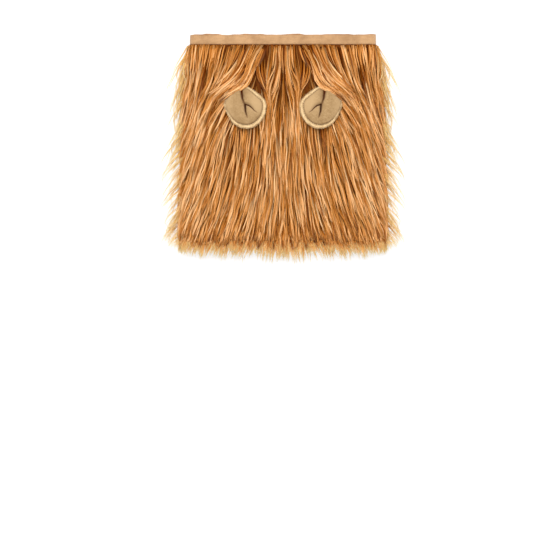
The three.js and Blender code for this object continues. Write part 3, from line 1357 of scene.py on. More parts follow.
    def inner_panel(self) -> bpy.types.Object:
        """Model the padded inner panel, with the folds that its pinched top throws.

        Returns:
            The panel.
        """
        inset, radius = self.inner_inset, self.shape.radius
        piece = self.disc(self.name("inner_panel"), inset)
        middles = np.array([p.center[:2] for p in piece.data.polygons])
        near = np.min([crease.measure(middles, radius)[0] for crease in CREASES], axis=0)
        subdivide_where(piece, near < 2.6 * MM, 2)
        plan = points_of(piece)[:, :2]
        low = self.shape.wall + self.panel_gap
        depth = np.maximum(self.from_edge(plan, inset), 0)
        shoulder = 1.5 * MM * np.sqrt(1 - (1 - np.minimum(depth / (2.2 * MM), 1)) ** 2)
        dome = self.puff * (1 - np.clip(1 - depth / (24 * MM), 0, 1) ** 2.2)
        angle = np.arctan2(plan[:, 1], plan[:, 0])
        near_edge = np.exp(-((depth / (5 * MM)) ** 2))
        tension = 0.22 * MM * ripple(angle * 19, angle * 27 + 1) * near_edge
        lumps = 0.3 * MM * value_noise(plan[:, 0], plan[:, 1], 12 * MM, 3)
        height = low + 0.3 * MM + shoulder + dome + tension
        height = height + lumps * np.minimum(depth / (6 * MM), 1)
        dips = [crease.dip(plan, radius) for crease in CREASES]
        height = np.maximum(height - np.max(dips, axis=0), low + 0.5 * MM)
        move_points(piece, np.column_stack([plan, height]))
        self.closed_below(piece, low)
        points = points_of(piece)
        plan = points[:, :2]
        near = np.min([crease.measure(plan, radius)[0] for crease in CREASES], axis=0)
        edge = self.from_edge(plan, inset) < 0.8 * MM
        sewn = (points[:, 2] < low + 0.1 * MM) | edge | (near < 0.5 * MM)
        inflate(piece, sewn, self.pressure, self.most_lift)
        self.wear(piece, plan)
        move_points(piece, self.shape.to_world(points_of(piece), self.side))
        face_outwards(piece)
        shade(piece, 75)
        return piece

    def wear(self, piece: bpy.types.Object, plan: Array) -> None:
        """Mark painted shade in and beside the inner panel's folds, with some matted nap, and along
        its hem, and mark where its nap is raised and paler.

        Args:
            piece: The panel.
            plan: Plan points of its vertices in the ear's frame.
        """
        radius = self.shape.radius
        # Painted shade in and beside the folds, partly matted nap, and along the hem beside the
        # rim.
        matted_and_shaded = np.max([crease.soiling(plan, radius) for crease in CREASES], axis=0)
        hem = np.exp(-np.maximum(self.from_edge(plan, self.inner_inset), 0) / (0.7 * MM))
        shown = self.shape.rim_width(np.arctan2(plan[:, 1], plan[:, 0])) / self.shape.rim
        self.mark(piece, "crease", np.maximum(matted_and_shaded, 0.34 * hem * shown))
        places = plan / radius
        across = np.clip((places[:, 0] + 0.05) / 0.5, 0, 1)
        across = across * np.clip((places[:, 1] + 0.45) / 0.3, 0, 1)
        outer = np.clip((-0.45 - places[:, 0]) / 0.5, 0, 1)
        self.mark(piece, "bloom", np.maximum(0.8 * across, 0.7 * outer))

    def stitches(self) -> bpy.types.Object:
        """Sew a line of short stitches round the rim.

        Returns:
            The stitches as one mesh.
        """
        stitch = new_piece(
            self.name("stitches"),
            bpy.ops.mesh.primitive_uv_sphere_add,
            segments=8,
            ring_count=6,
            radius=1,
        )
        unit = points_of(stitch)
        faces = [tuple(p.vertices) for p in stitch.data.polygons]
        count, fine = self.stitch_count, 1080
        angle = np.linspace(0, 2 * np.pi, fine, endpoint=False)
        route = self.edge_at(angle, self.stitch_inset)
        steps = np.linalg.norm(np.roll(route, -1, 0) - route, axis=1)
        walked = np.cumsum(steps)
        total = walked[-1]
        places, joined = [], []
        for i in range(count):
            at = int(np.searchsorted(walked, (i + 0.5) / count * total)) % fine
            ahead = route[(at + 5) % fine] - route[at - 5]
            ahead = ahead / np.linalg.norm(ahead)
            half = 0.34 * total / count
            middle = np.append(route[at], self.shape.wall + 0.45 * MM)
            forward = np.append(ahead, 0) * half
            aside = np.array([-ahead[1], ahead[0], 0]) * self.stitch_radius
            up = np.array([0, 0, self.stitch_radius])
            body = middle + unit[:, :1] * forward + unit[:, 1:2] * aside + unit[:, 2:] * up
            joined += [tuple(v + len(unit) * i for v in face) for face in faces]
            places.append(body)
        mesh = bpy.data.meshes.new(stitch.name)
        world = self.shape.to_world(np.concatenate(places), self.side)
        mesh.from_pydata(world.tolist(), [], joined)
        stitch.data = mesh
        face_outwards(stitch)
        shade(stitch)
        return stitch

    def nap_edge(self, template: "HairTemplate") -> bpy.types.Object:
        """Grow the short fibres that stand out round the ear's edge.

        Args:
            template: The hair that each fibre is a copy of.

        Returns:
            The fibres as one mesh.
        """
        rng = np.random.default_rng(41 + self.side.value)
        count, fine = self.nap_count, 2880
        outline = self.shape.outline(fine) * 0.985
        pick = rng.integers(0, fine, count)
        edge = outline[pick]
        out = unit(edge)
        aside = np.stack([-out[:, 1], out[:, 0]], -1)
        start = np.column_stack(
            [edge * rng.uniform(0.93, 0.99, (count, 1)), rng.uniform(0.4, 2.6, count) * MM]
        )
        length = rng.uniform(1.6, 3.0, count) * MM
        swing = rng.normal(0, 0.5, count)
        aim = np.column_stack(
            [out + aside * swing[:, None], rng.uniform(-0.15, 0.5, count)]
        ) * length[:, None]
        share = np.linspace(0, 1, template.rings)[None, :, None]
        route = start[:, None] + aim[:, None] * share
        flat = self.shape.to_world(route.reshape(-1, 3), self.side)
        hairs = Hairs(
            guides=flat.reshape(count, template.rings, 3),
            normals=np.tile((0.0, 0.0, 1.0), (count, 1)),
            radius=np.full(count, self.nap_radius),
            tone=rng.uniform(0.05, 0.95, count),
        )
        return hairs.as_piece(self.name("nap"), template)

    def build(self, template: "HairTemplate") -> None:
        """Build and dress all pieces of the ear.

        Args:
            template: The hair that the nap's fibres are copies of.
        """
        back = self.back_panel()
        finish_piece(back, RIM_FELT, "ear_rim_felt", self.name("back"))
        inner = self.inner_panel()
        finish_piece(inner, EAR_FELT, "ear_felt", self.name("front"))
        stitches = self.stitches()
        finish_piece(stitches, THREAD, "ear_rim_felt")
        nap = self.nap_edge(template)
        finish_piece(nap, NAP, "ear_rim_felt")


# Band and backing


@dataclass
class NeckBand:
    """The elastic casing: a flattened loop of cloth, drawn in by the elastic inside it."""

    frame: ManeFrame
    around: int = 440
    along: int = 8
    wall: float = 3 * MM
    gap: float = 0.3 * MM
    gathers: int = 58
    ripples: int = 9
    waver: float = 0.7 * MM
    over_backing: float = 1 * MM
    over_top: float = 0.6 * MM
    gather_depth: float = 0.28 * MM
    swell_height: float = 0.25 * MM
    uneven_height: float = 0.16 * MM
    cell: float = 9 * MM
    # How much of the wall is left to the gathers, and how much longer the loop is when let out.
    relief: float = 0.8 * MM
    let_out: float = 1.07

    def build(self) -> None:
        frame = self.frame
        piece = extruded_ring("neck_band_cloth", self.around, self.along)
        points = points_of(piece)
        angle = np.arctan2(points[:, 1], points[:, 0])
        share = points[:, 2] / self.along
        low = frame.seam_y + self.gap
        radius = frame.backing_radius + self.over_backing
        quarter = float(frame.quarter_girth(np.array(frame.seam_y), radius))
        walked = angle / np.pi * 2 * quarter
        _, normal = frame.girth_place(walked, np.full(len(angle), frame.seam_y), radius)
        middle = 1 - (2 * share - 1) ** 2
        pinch = np.abs(2 * share - 1) ** 2
        phase = angle * self.gathers
        uneven = value_noise(walked, share, self.cell, 5)
        gather = self.gather_depth * ripple(phase, phase * 1.37 + 1.2) * (0.4 + 0.6 * pinch)
        swell = self.swell_height * middle + self.uneven_height * uneven
        wave = self.waver * np.sin(2 * np.pi * self.ripples * walked / (4 * quarter))
        edge = self.waver * value_noise(walked, share * 0, self.cell, 8)
        height = frame.band_top_y + self.over_top - low
        y = low + share * (height + wave + edge)
        places, _ = frame.girth_place(walked, y, radius - self.relief)
        move_points(piece, places + normal * (gather + swell)[:, None])
        face_outwards(piece)
        apply_modifier(piece, "SOLIDIFY", thickness=self.wall - self.relief, offset=-1)
        apply_modifier(piece, "BEVEL", width=0.9 * MM, segments=3, limit_method="ANGLE")
        shade(piece, 60)
        light, dark = colour(206, 163, 118), colour(177, 135, 93)
        finish = WovenFinish(
            "casing_weave", light, dark, 0.35 * MM, frame.seam_y, frame.band_top_y
        )
        finish_piece(piece, finish, "band_cloth", "neck_band")


@dataclass
class Backing:
    """The knitted tube that carries the pile."""

    frame: ManeFrame
    around: int = 200
    along: int = 20
    wall: float = 2 * MM
    relief: float = 0.7 * MM

    def build(self, with_pieces: Sequence[bpy.types.Object]) -> None:
        """Args:
            with_pieces: The pieces of the pelt that the tube carries. Not used.
        """
        frame = self.frame
        piece = extruded_ring("backing_cloth", self.around, self.along)
        points = points_of(piece)
        angle = np.arctan2(points[:, 1], points[:, 0])
        y = frame.hem_y + points[:, 2] / self.along * (frame.seam_y - frame.hem_y)
        radius = frame.backing_radius - self.wall / 2
        walked = angle / np.pi * 2 * frame.quarter_girth(y, radius)
        places, normals = frame.girth_place(walked, y, radius)
        creep = value_noise(walked, y, 34 * MM, 11) + 0.5 * value_noise(walked, y, 13 * MM, 12)
        move_points(piece, places + normals * (0.3 * MM * creep)[:, None])
        face_outwards(piece)
        apply_modifier(piece, "SOLIDIFY", thickness=self.wall - self.relief, offset=0)
        shade(piece, 60)
        finish_piece(piece, KNIT, "backing_cloth", "backing_tube")
        loop = float(4 * frame.quarter_girth(np.array(frame.hem_y), frame.backing_radius))


@dataclass
class PileBed:
    """The dense roots of the pile on one side of the tube."""

    frame: ManeFrame
    name: str
    node: str
    is_top: bool
    across: int = 64
    along: int = 48
    thickness: float = 3.6 * MM
    relief: float = 0.8 * MM
    inset: float = 0.5 * MM
    furrow: float = 0.55 * MM
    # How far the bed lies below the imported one, all over and near the seam.
    sunk: float = 1.2 * MM
    sunk_at_seam: float = 2.6 * MM
    seam_reach: float = 6 * MM

    def build(self) -> bpy.types.Object:
        """Model and dress the bed.

        Returns:
            The bed.
        """
        frame = self.frame
        piece = new_piece(
            self.name,
            bpy.ops.mesh.primitive_grid_add,
            x_subdivisions=self.across,
            y_subdivisions=self.along,
            size=1,
        )
        points = points_of(piece)
        length = frame.seam_y - frame.hem_y - 2 * self.inset
        y = frame.hem_y + self.inset + (points[:, 1] + 0.5) * length
        near_seam = np.exp(-(((frame.seam_y - y) / self.seam_reach) ** 2))
        radius = frame.bed_radius - self.sunk - self.sunk_at_seam * near_seam
        quarter = frame.quarter_girth(y, radius)
        walked = points[:, 0] * 2 * (quarter - 0.3 * MM)
        if not self.is_top:
            walked = np.where(walked < 0, -2 * quarter - walked, 2 * quarter - walked)
        places, normals = frame.girth_place(walked, y, radius)
        furrows = value_noise(walked, y / 6, 5 * MM, 21)
        furrows = furrows + 0.6 * value_noise(walked, y / 5, 2.4 * MM, 22)
        move_points(piece, places + normals * (self.furrow * furrows)[:, None])
        outward = normals[0] @ np.array(piece.data.vertices[0].normal)
        if outward < 0:
            in_edit_mode(piece, lambda: bpy.ops.mesh.flip_normals())
        apply_modifier(piece, "SOLIDIFY", thickness=self.thickness - self.relief, offset=-1)
        shade(piece, 60)
        finish_piece(piece, BED, "fur", self.node)
        return piece


# Hair


@dataclass
class HairTemplate:
    """One closed three-sided hair, straight, that every hair is a bent copy of."""

    rings: int
    station: Array = field(init=False)
    offset: Array = field(init=False)
    loops: Array = field(init=False)
    sizes: Array = field(init=False)
    loop_turn: Array = field(init=False)

    def __post_init__(self) -> None:
        """Model the hair: a triangle extruded ring by ring and drawn to a point."""
        sides = 3
        piece = circle("hair_template", sides, fill="NGON")
        in_edit_mode(
            piece, *[raise_ring] * (self.rings - 1), lambda: bpy.ops.mesh.merge(type="CENTER")
        )
        face_outwards(piece)
        points = points_of(piece)
        mesh = piece.data
        self.station = np.round(points[:, 2]).astype(int)
        self.offset = points[:, :2]
        self.loops = np.array([v for p in mesh.polygons for v in p.vertices], np.int32)
        self.sizes = np.array([len(p.vertices) for p in mesh.polygons], np.int32)
        turn = np.arctan2(points[:, 0], points[:, 1]) / (2 * np.pi) * sides
        self.loop_turn = np.where(np.hypot(*self.offset.T) > 0.5, np.round(turn), 0)[self.loops]
        bpy.data.objects.remove(piece)


@dataclass
class Hairs:
    """Many hairs: a guide line, a surface normal, a radius and a tone for each.

    All are given painted shade at their roots, as if these lay hidden up to the share where they
    are shown from.
    """

    guides: Array
    normals: Array
    radius: Array
    tone: Array
    shown_from: float = 0.0
    taper: tuple[float, ...] = FULL_TAPER

    @staticmethod
    def together(groups: Sequence["Hairs"]) -> "Hairs":
        """Join several groups of hairs.

        Args:
            groups: Groups whose guides have equally many points.

        Returns:
            All hairs as one group.
        """
        return Hairs(
            guides=np.concatenate([g.guides for g in groups]),
            normals=np.concatenate([g.normals for g in groups]),
            radius=np.concatenate([g.radius for g in groups]),
            tone=np.concatenate([g.tone for g in groups]),
            shown_from=groups[0].shown_from,
            taper=groups[0].taper,
        )

    def chosen(self, mask: Array) -> "Hairs":
        """Take some of the hairs.

        Args:
            mask: Whether each hair is taken.

        Returns:
            The taken hairs.
        """
        parts = (self.guides[mask], self.normals[mask], self.radius[mask], self.tone[mask])
        return Hairs(*parts, self.shown_from, self.taper)

    def as_piece(self, name: str, template: HairTemplate) -> bpy.types.Object:
        """Bend a copy of the template along each guide, all in one mesh.

        Args:
            name: Name of the piece.
            template: The hair to copy.

        Returns:
            The piece.
        """
        count, rings, _ = self.guides.shape
        tangent, aside = directions(self.guides, self.normals)
        upward = np.cross(tangent, aside)
        steps = np.linspace(0, 1, len(self.taper))
        taper = np.interp(np.linspace(0, 1, rings), steps, self.taper)
        reach = self.radius[:, None, None] * taper[None, :, None]
        at = template.station
        x, y = template.offset[:, 0][None, :, None], template.offset[:, 1][None, :, None]
        points = self.guides[:, at] + reach[:, at] * (x * aside[:, at] + y * upward[:, at])
        points[..., 2] = np.maximum(points[..., 2], FLOOR_GAP)
        per_hair = len(at)
        shift = (np.arange(count, dtype=np.int32) * per_hair)[:, None]
        loops = (template.loops[None] + shift).ravel()
        sizes = np.tile(template.sizes, count)
        starts = np.concatenate([[0], np.cumsum(sizes)[:-1]]).astype(np.int32)
        mesh = bpy.data.meshes.new(name)
        mesh.vertices.add(count * per_hair)
        mesh.vertices.foreach_set("co", points.ravel())
        mesh.loops.add(len(loops))
        mesh.loops.foreach_set("vertex_index", loops)
        mesh.polygons.add(len(sizes))
        mesh.polygons.foreach_set("loop_start", starts)
        mesh.polygons.foreach_set("use_smooth", np.ones(len(sizes), bool))
        across = self.tone[:, None] + TONE_STEP * template.loop_turn[None]
        along = self.shown_from + (1 - self.shown_from) * at[template.loops] / (rings - 1)
        along = np.tile(along, (count, 1))
        layer = mesh.uv_layers.new(name=HAIR_MAP)
        layer.uv.foreach_set("vector", np.stack([across, along], -1).astype(np.float32).ravel())
        mesh.update(calc_edges=True)
        mesh.validate()
        piece = bpy.data.objects.new(name, mesh)
        bpy.context.collection.objects.link(piece)
        return piece


@dataclass(frozen=True)
class Shadow:
    """A place where the coat parts and shows its dark roots, the same on both sides; painted shade
    darkens the clumps there.

    Distances are from the middle line and from the band's free edge.
    """

    aside: float
    drop: float
    half_width: float
    half_length: float
    depth: float


@dataclass(frozen=True)
class Comb:
    """Which way the upper side's hair lies, as the photograph shows it.

    The table holds degrees of lean away from the middle line. Its columns are distances from the
    middle line and its rows distances below the band's free edge, both in millimetres.
    """

    frame: ManeFrame
    asides: tuple[float, ...] = (0, 15, 35, 60, 90, 120, 160)
    drops: tuple[float, ...] = (15, 35, 60, 88, 120, 165, 240, 340)
    leans: tuple[tuple[float, ...], ...] = (
        (0, 2, 12, 10, 12, 8, 5),
        (0, 6, 36, 24, 16, 10, 6),
        (0, 26, 4, 34, 26, 12, 7),
        (0, 30, -24, 48, 48, 24, 10),
        (0, 12, -8, 20, 32, 24, 14),
        (0, 2, 2, 6, 14, 19, 18),
        (0, 3, 6, 10, 15, 19, 18),
        (0, 4, 10, 17, 20, 18, 14),
    )
    shadows: tuple[Shadow, ...] = (
        Shadow(0.0, 70 * MM, 6 * MM, 24 * MM, 0.34),
        Shadow(0.0, 115 * MM, 5 * MM, 20 * MM, 0.22),
        Shadow(37 * MM, 60 * MM, 9 * MM, 24 * MM, 1.0),
        Shadow(26 * MM, 24 * MM, 9 * MM, 8 * MM, 0.8),
        Shadow(94 * MM, 28 * MM, 5 * MM, 11 * MM, 0.9),
        Shadow(76 * MM, 44 * MM, 4 * MM, 9 * MM, 0.6),
        Shadow(130 * MM, 79 * MM, 4 * MM, 14 * MM, 0.9),
        Shadow(62 * MM, 163 * MM, 15 * MM, 8 * MM, 0.6),
        Shadow(52 * MM, 315 * MM, 6 * MM, 9 * MM, 0.4),
    )

    def drop(self, y: Array) -> Array:
        """Distance below the band's free edge.

        Args:
            y: Places along the tube.

        Returns:
            The distance at each.
        """
        return self.frame.band_top_y - y

    def lean(self, x: Array, y: Array) -> Array:
        """Angle by which the hair leans from the tube's length towards +X.

        Args:
            x: Places across the tube.
            y: Places along the tube.

        Returns:
            The angle at each place, in radians.
        """
        table = np.array(self.leans, float)
        column = np.interp(np.abs(x) / MM, self.asides, np.arange(len(self.asides)))
        row = np.interp(self.drop(y) / MM, self.drops, np.arange(len(self.drops)))
        i = np.minimum(row.astype(int), len(self.drops) - 2)
        j = np.minimum(column.astype(int), len(self.asides) - 2)
        s, t = row - i, column - j
        upper = table[i, j] * (1 - t) + table[i, j + 1] * t
        lower = table[i + 1, j] * (1 - t) + table[i + 1, j + 1] * t
        out = upper * (1 - s) + lower * s
        wander = 5 * value_noise(x, y / 1.7, 21 * MM, 31) + 4 * value_noise(x, y / 2.2, 8 * MM, 32)
        return np.radians(np.sign(x + TINY) * out + wander)

    def darkness(self, x: Array, y: Array) -> Array:
        """How deep in shadow the coat is.

        Args:
            x: Places across the tube.
            y: Places along the tube.

        Returns:
            From 0 in the open coat to 1 in the deepest parting.
        """
        aside, drop = np.abs(x), self.drop(y)
        dark = np.zeros_like(aside)
        for spot in self.shadows:
            away = ((aside - spot.aside) / spot.half_width) ** 2
            away = away + ((drop - spot.drop) / spot.half_length) ** 2
            dark = np.maximum(dark, spot.depth * np.exp(-away))
        return dark


@dataclass(frozen=True, kw_only=True)
class Strands:
    """What the clumps of one part of the coat are made of.

    The spread is a clump's radius at its root and at its tip. The tone is the middle and the range
    of its colour, from 0 for the darkest to 1 for the palest; the range spreads it at random and by
    the clump's height, with lower clumps darker as painted shade. Hair gets painted shade at its
    root as if the root lay hidden up to where it is shown from, as a share of its length.
    """

    hairs: int
    radius: float
    spread: tuple[float, float]
    tone: tuple[float, float]
    seed: int
    shown_from: float = 0.0
    taper: tuple[float, ...] = FULL_TAPER


@dataclass(frozen=True, kw_only=True)
class Growth(Strands):
    """How the hair of one part of the coat grows. Lengths are in metres, angles in degrees.

    The stretch is the part that it covers of the way round from the top's middle line to the
    underside's: 1 is a side fold and 2 the underside's middle. The span is the part that it covers
    of the way from the seam to the hem, and past is how far its tips may reach beyond the hem.
    """

    stretch: tuple[float, float]
    rows: int
    columns: int
    length: tuple[float, float]
    lift: tuple[float, float]
    wave: tuple[float, float]
    span: tuple[float, float] = (0.0, 1.0)
    past: tuple[float, float] = (-5 * MM, 7 * MM)
    past_bias: float = 1.6
    flare: float = 0.0
    jitter: float = 2.5
    sag: float = 1.0
    root_lift: float = -1.5 * MM


@dataclass
class Pelt:
    """All the hair of the costume. It grows on the left side and is mirrored, as it is combed."""

    frame: ManeFrame
    ears: EarShape
    comb: Comb
    side_reach: float = 165 * MM
    flare_limit: float = 44 * MM
    # Share of the clumps that are left out where the coat parts: by their roots, and by their way.
    thinned: float = 0.75
    thinned_across: float = 0.55
    # Share of the combed clumps that stray, and how much further they do.
    strays: float = 0.07
    stray_factor: float = 3.0
    # Least heights of a clump's middle line and of its hairs over the floor.
    clump_floor: float = 0.7 * MM
    hair_floor: float = 0.4 * MM
    ear_gap: float = 0.9 * MM
    # How far hair sags beyond the hem, for each metre and for each square metre.
    droop: float = 0.28
    droop_growth: float = 4.0

    def clump_roots(self, growth: Growth) -> tuple[Array, Array]:
        """Scatter clumps evenly over a stretch of the left side.

        Args:
            growth: How many rows and columns of clumps there are, and where.

        Returns:
            Distances round the girth and places along the tube.
        """
        rng = np.random.default_rng(growth.seed)
        rows, columns = np.mgrid[0 : growth.rows, 0 : growth.columns]
        down = (rows + rng.uniform(0.05, 0.95, rows.shape)) / growth.rows
        down = between(growth.span, down)
        around = (columns + rng.uniform(0.05, 0.95, rows.shape)) / growth.columns
        y = self.frame.seam_y - 0.6 * MM - down * (self.frame.seam_y - self.frame.hem_y - 1 * MM)
        w = -between(growth.stretch, around) * self.frame.quarter_girth(y, self.frame.bed_radius)
        return w.ravel(), y.ravel()

    def clump_guides(self, growth: Growth, rings: int) -> tuple[Array, Array, Array]:
        """Comb one guide line from each root of the left side, along the tube's surface.

        Args:
            growth: Places, lengths, lifts and waves.
            rings: Points of a guide line.

        Returns:
            Guide points, surface normals and how high each clump lies, from 0 to 1.
        """
        rng = np.random.default_rng(growth.seed + 1)
        w, y = self.clump_roots(growth)
        frame = self.frame
        root, normal = frame.girth_place(w, y, frame.bed_radius)
        dark = self.comb.darkness(root[:, 0], y) * (normal[:, 2] > 0)
        kept = rng.uniform(0, 1, len(w)) > self.thinned * dark
        w, y, root, normal, dark = w[kept], y[kept], root[kept], normal[kept], dark[kept]
        count = len(w)
        level = rng.uniform(0, 1, count)
        lift = growth.lift[0] + (growth.lift[1] - growth.lift[0]) * level * (1 - 0.8 * dark)
        length = rng.uniform(*growth.length, count)
        edge = np.clip(np.abs(root[:, 0]) / self.side_reach, 0, 1)
        spare = rng.uniform(0, 1, count) ** growth.past_bias
        reach = between(growth.past, spare)
        lowest = frame.hem_y - reach * (1 - 0.4 * edge**4)
        length = np.minimum(length, np.maximum((y - lowest) * 1.03, 5 * MM))
        strays = 0.0 if growth.flare else self.strays
        wild = np.where(rng.uniform(0, 1, count) < strays, self.stray_factor, 1.0)
        stray = np.radians(rng.normal(0, growth.jitter, count)) * wild
        flare = np.tan(np.radians(growth.flare)) * rng.uniform(0.35, 1.25, count)
        swing = rng.uniform(*growth.wave, count)
        pitch = rng.uniform(34, 58, count) * MM
        phase = 5 * value_noise(root[:, 0], y, 24 * MM, growth.seed) + rng.normal(0, 0.5, count)
        limit = self.flare_limit
        share = np.linspace(0, 1, rings)
        step = length / (rings - 1)
        guides = np.empty((count, rings, 3))
        for ring in range(rings):
            part = share[ring]
            rise = growth.root_lift + lift * (1 - (1 - part) ** 2.4) * (1 - 0.3 * part**3)
            place, outward = frame.girth_place(w, y, frame.bed_radius)
            guides[:, ring] = place + outward * rise[:, None]
            aside = flare * length * part**1.2 * np.abs(outward[:, 0])
            guides[:, ring, 0] -= limit * np.tanh(aside / limit)
            bend = swing * 2 * np.pi / pitch * np.cos(2 * np.pi * part * length / pitch + phase)
            angle = self.comb.lean(place[:, 0], y) + stray
            angle = angle + np.arctan(bend) * min(1.0, 0.3 + 2 * part)
            w = w + step * np.sin(angle)
            y = y - step * np.cos(angle)
        crossed = self.comb.darkness(guides[..., 0], guides[..., 1]).max(axis=1)
        stays = rng.uniform(0, 1, count) > self.thinned_across * crossed * (normal[:, 2] > 0)
        return self.settled(guides[stays], growth.sag), normal[stays], level[stays]

    def settled(self, guides: Array, sag: float) -> Array:
        """Let hair beyond the hem sag, and keep all of it off the floor.

        Args:
            guides: Guide points.
            sag: How strongly it sags.

        Returns:
            The points after sagging.
        """
        frame = self.frame
        beyond = np.maximum(frame.hem_y - guides[..., 1], 0)
        fall = sag * (self.droop * beyond + self.droop_growth * beyond**2)
        settled = guides.copy()
        settled[..., 2] -= np.where(guides[..., 2] > frame.middle_z, fall, 0.5 * fall)
        settled[..., 2] = np.maximum(settled[..., 2], self.clump_floor)
        return settled

    def hairs_of(
        self, strands: Strands, guides: Array, normal: Array, level: Array, under_ears: bool = True
    ) -> Hairs:
        """Fill each clump with hairs that run together towards its tip.

        Args:
            strands: How many hairs a clump has, how thick they are and how far they spread.
            guides: One guide line for each clump.
            normal: Surface normals at the clumps' roots.
            level: How high each clump lies.
            under_ears: Whether hair that meets an ear is pressed under it.

        Returns:
            All hairs.
        """
        rng = np.random.default_rng(strands.seed + 2)
        clumps, rings, _ = guides.shape
        per = strands.hairs
        tangent, aside = directions(guides, normal)
        upward = np.cross(aside, tangent)
        share = np.linspace(0, 1, rings)
        spread = between(strands.spread, share**0.8)
        twist = rng.normal(0, 1.2, (clumps, 1, 1)) * share
        angle = rng.uniform(0, 2 * np.pi, (clumps, per, 1)) + twist
        away = np.sqrt(rng.uniform(0.02, 1, (clumps, per, 1))) * spread
        fray = rng.normal(0, 0.7 * MM, (clumps, per, 1)) * share**3
        sideways = away * np.cos(angle) + fray
        height = 0.6 * away * np.sin(angle)
        lines = guides[:, None] + sideways[..., None] * aside[:, None]
        lines = lines + height[..., None] * upward[:, None]
        stretch = rng.uniform(0.78, 1.06, (clumps, per, 1)) * share * (rings - 1)
        lower = np.minimum(stretch.astype(int), rings - 2)
        part = (stretch - lower)[..., None]
        first = np.take_along_axis(lines, lower[..., None], axis=2)
        second = np.take_along_axis(lines, lower[..., None] + 1, axis=2)
        lines = first * (1 - part) + second * part
        lines[..., 2] = np.maximum(lines[..., 2], self.hair_floor)
        if under_ears:
            lines = self.ears.keep_below(lines, self.ear_gap)
        middle = guides[:, rings // 2]
        # Painted shade: clumps in the partings are darkened.
        dark = self.comb.darkness(middle[:, 0], middle[:, 1])
        # Painted light: clumps are paler towards the sides.
        edge = np.clip((np.abs(middle[:, 0]) - 125 * MM) / (40 * MM), 0, 1)
        # Painted shade: the lower a clump lies, the darker its tone, besides a random spread.
        clump_tone = strands.tone[0] + strands.tone[1] * (level - 0.5 + rng.normal(0, 0.45, clumps))
        drop = self.comb.drop(middle[:, 1])
        # Painted shade: slightly darker just below the band, and darker by the hem.
        shaded = 0.05 * np.clip(1.3 - drop / (100 * MM), 0, 1)
        shaded = shaded + 0.14 * np.clip((drop - 300 * MM) / (30 * MM), 0, 1)
        clump_tone = clump_tone - 0.5 * dark + 0.14 * edge - shaded
        tone = clump_tone[:, None] + rng.normal(0, 0.09, (clumps, per))
        radius = strands.radius * rng.uniform(0.75, 1.2, (clumps, per))
        return Hairs(
            guides=lines.reshape(-1, rings, 3),
            normals=np.repeat(normal, per, axis=0),
            radius=radius.ravel(),
            tone=np.clip(tone, 0.01, 0.99).ravel(),
            shown_from=strands.shown_from,
            taper=strands.taper,
        )

    def grown(self, growth: Growth, rings: int) -> Hairs:
        """Grow one part of the coat on both sides.

        Args:
            growth: How it grows.
            rings: Points of each hair.

        Returns:
            Its hairs.
        """
        guides, normal, level = self.clump_guides(growth, rings)
        return self.hairs_of(growth, *mirrored(guides, normal, level))


def mirrored(guides: Array, normal: Array, level: Array) -> tuple[Array, Array, Array]:
    """Add the other side's clumps, which mirror the given ones.

    Args:
        guides: Guide lines.
        normal: Surface normals.
        level: How high each clump lies.

    Returns:
        The same three for both sides.
    """
    flip = np.array((-1.0, 1.0, 1.0))
    return (
        np.concatenate([guides, guides * flip]),
        np.concatenate([normal, normal * flip]),
        np.concatenate([level, level]),
    )


@dataclass(frozen=True)
class SweptLock:
    """Strands that are combed over an ear, between two edges.

    Each edge is a route in millimetres from the middle line and below the band's free edge.
    """

    inner_edge: tuple[tuple[float, float], ...]
    outer_edge: tuple[tuple[float, float], ...]
    clumps: int
    starts: tuple[float, float]
    lengths: tuple[float, float]
    lift: tuple[float, float]
    seed: int


OUTER_LOCK = SweptLock(
    inner_edge=(
        (28, 16), (38, 32), (46, 52), (52, 72), (62, 89), (78, 98), (94, 107), (108, 121),
    ),
    outer_edge=(
        (62, 16), (68, 30), (76, 46), (86, 60), (99, 73), (114, 86), (128, 100), (140, 118),
    ),
    clumps=74,
    starts=(0.0, 0.4),
    lengths=(0.52, 0.7),
    lift=(2 * MM, 13 * MM),
    seed=71,
)
INNER_LOCK = SweptLock(
    inner_edge=((31, 30), (30, 50), (29, 66), (27, 80), (24, 92), (20, 104)),
    outer_edge=((42, 30), (46, 50), (46, 66), (40, 80), (32, 92), (26, 106)),
    clumps=12,
    starts=(0.0, 0.3),
    lengths=(0.6, 0.75),
    lift=(2 * MM, 6 * MM),
    seed=81,
)


@dataclass
class LockDresser:
    """Lays the swept locks over the ears' tops."""

    pelt: Pelt
    strands: Strands

    def hairs(self, lock: SweptLock, rings: int) -> Hairs:
        """Comb one lock over each ear.

        Args:
            lock: The lock.
            rings: Points of each hair.

        Returns:
            The hairs of both sides.
        """
        rng = np.random.default_rng(lock.seed)
        frame, count = self.pelt.frame, lock.clumps
        inner, outer = np.array(lock.inner_edge, float) * MM, np.array(lock.outer_edge, float) * MM
        across = (((np.arange(count) + rng.uniform(0, 1, count)) / count) ** 1.4)[:, None]
        begin = rng.uniform(*lock.starts, (count, 1))
        end = np.minimum(begin + rng.uniform(*lock.lengths, (count, 1)), 1.0)
        share = np.linspace(0, 1, rings)
        knot = (begin + (end - begin) * share) * (len(inner) - 1)
        pull = across + rng.normal(0, 0.05, (count, 1)) * np.sin(2.4 * np.pi * share + 6 * across)
        guides = np.empty((count, rings, 3))
        places = np.arange(len(inner))
        for axis in range(2):
            near = np.interp(knot, places, inner[:, axis])
            far = np.interp(knot, places, outer[:, axis])
            guides[..., axis] = near * (1 - pull) + far * pull
        guides[..., 0] *= -1
        guides[..., 1] = frame.band_top_y - guides[..., 1]
        level = rng.uniform(0, 1, count)
        lift = between(lock.lift, level)[:, None]
        rise = lift * (1 - (1 - share) ** 2.4) * (1 - 0.25 * share**3)
        guides[..., 2] = frame.bed_top - 1.5 * MM + rise
        guides = self.pelt.ears.keep_above(guides, (0.6 + 2.2 * level[:, None]) * MM)
        normal = np.tile((0.0, 0.0, 1.0), (count, 1))
        clumps = mirrored(guides, normal, level)
        return self.pelt.hairs_of(self.strands, *clumps, under_ears=False)


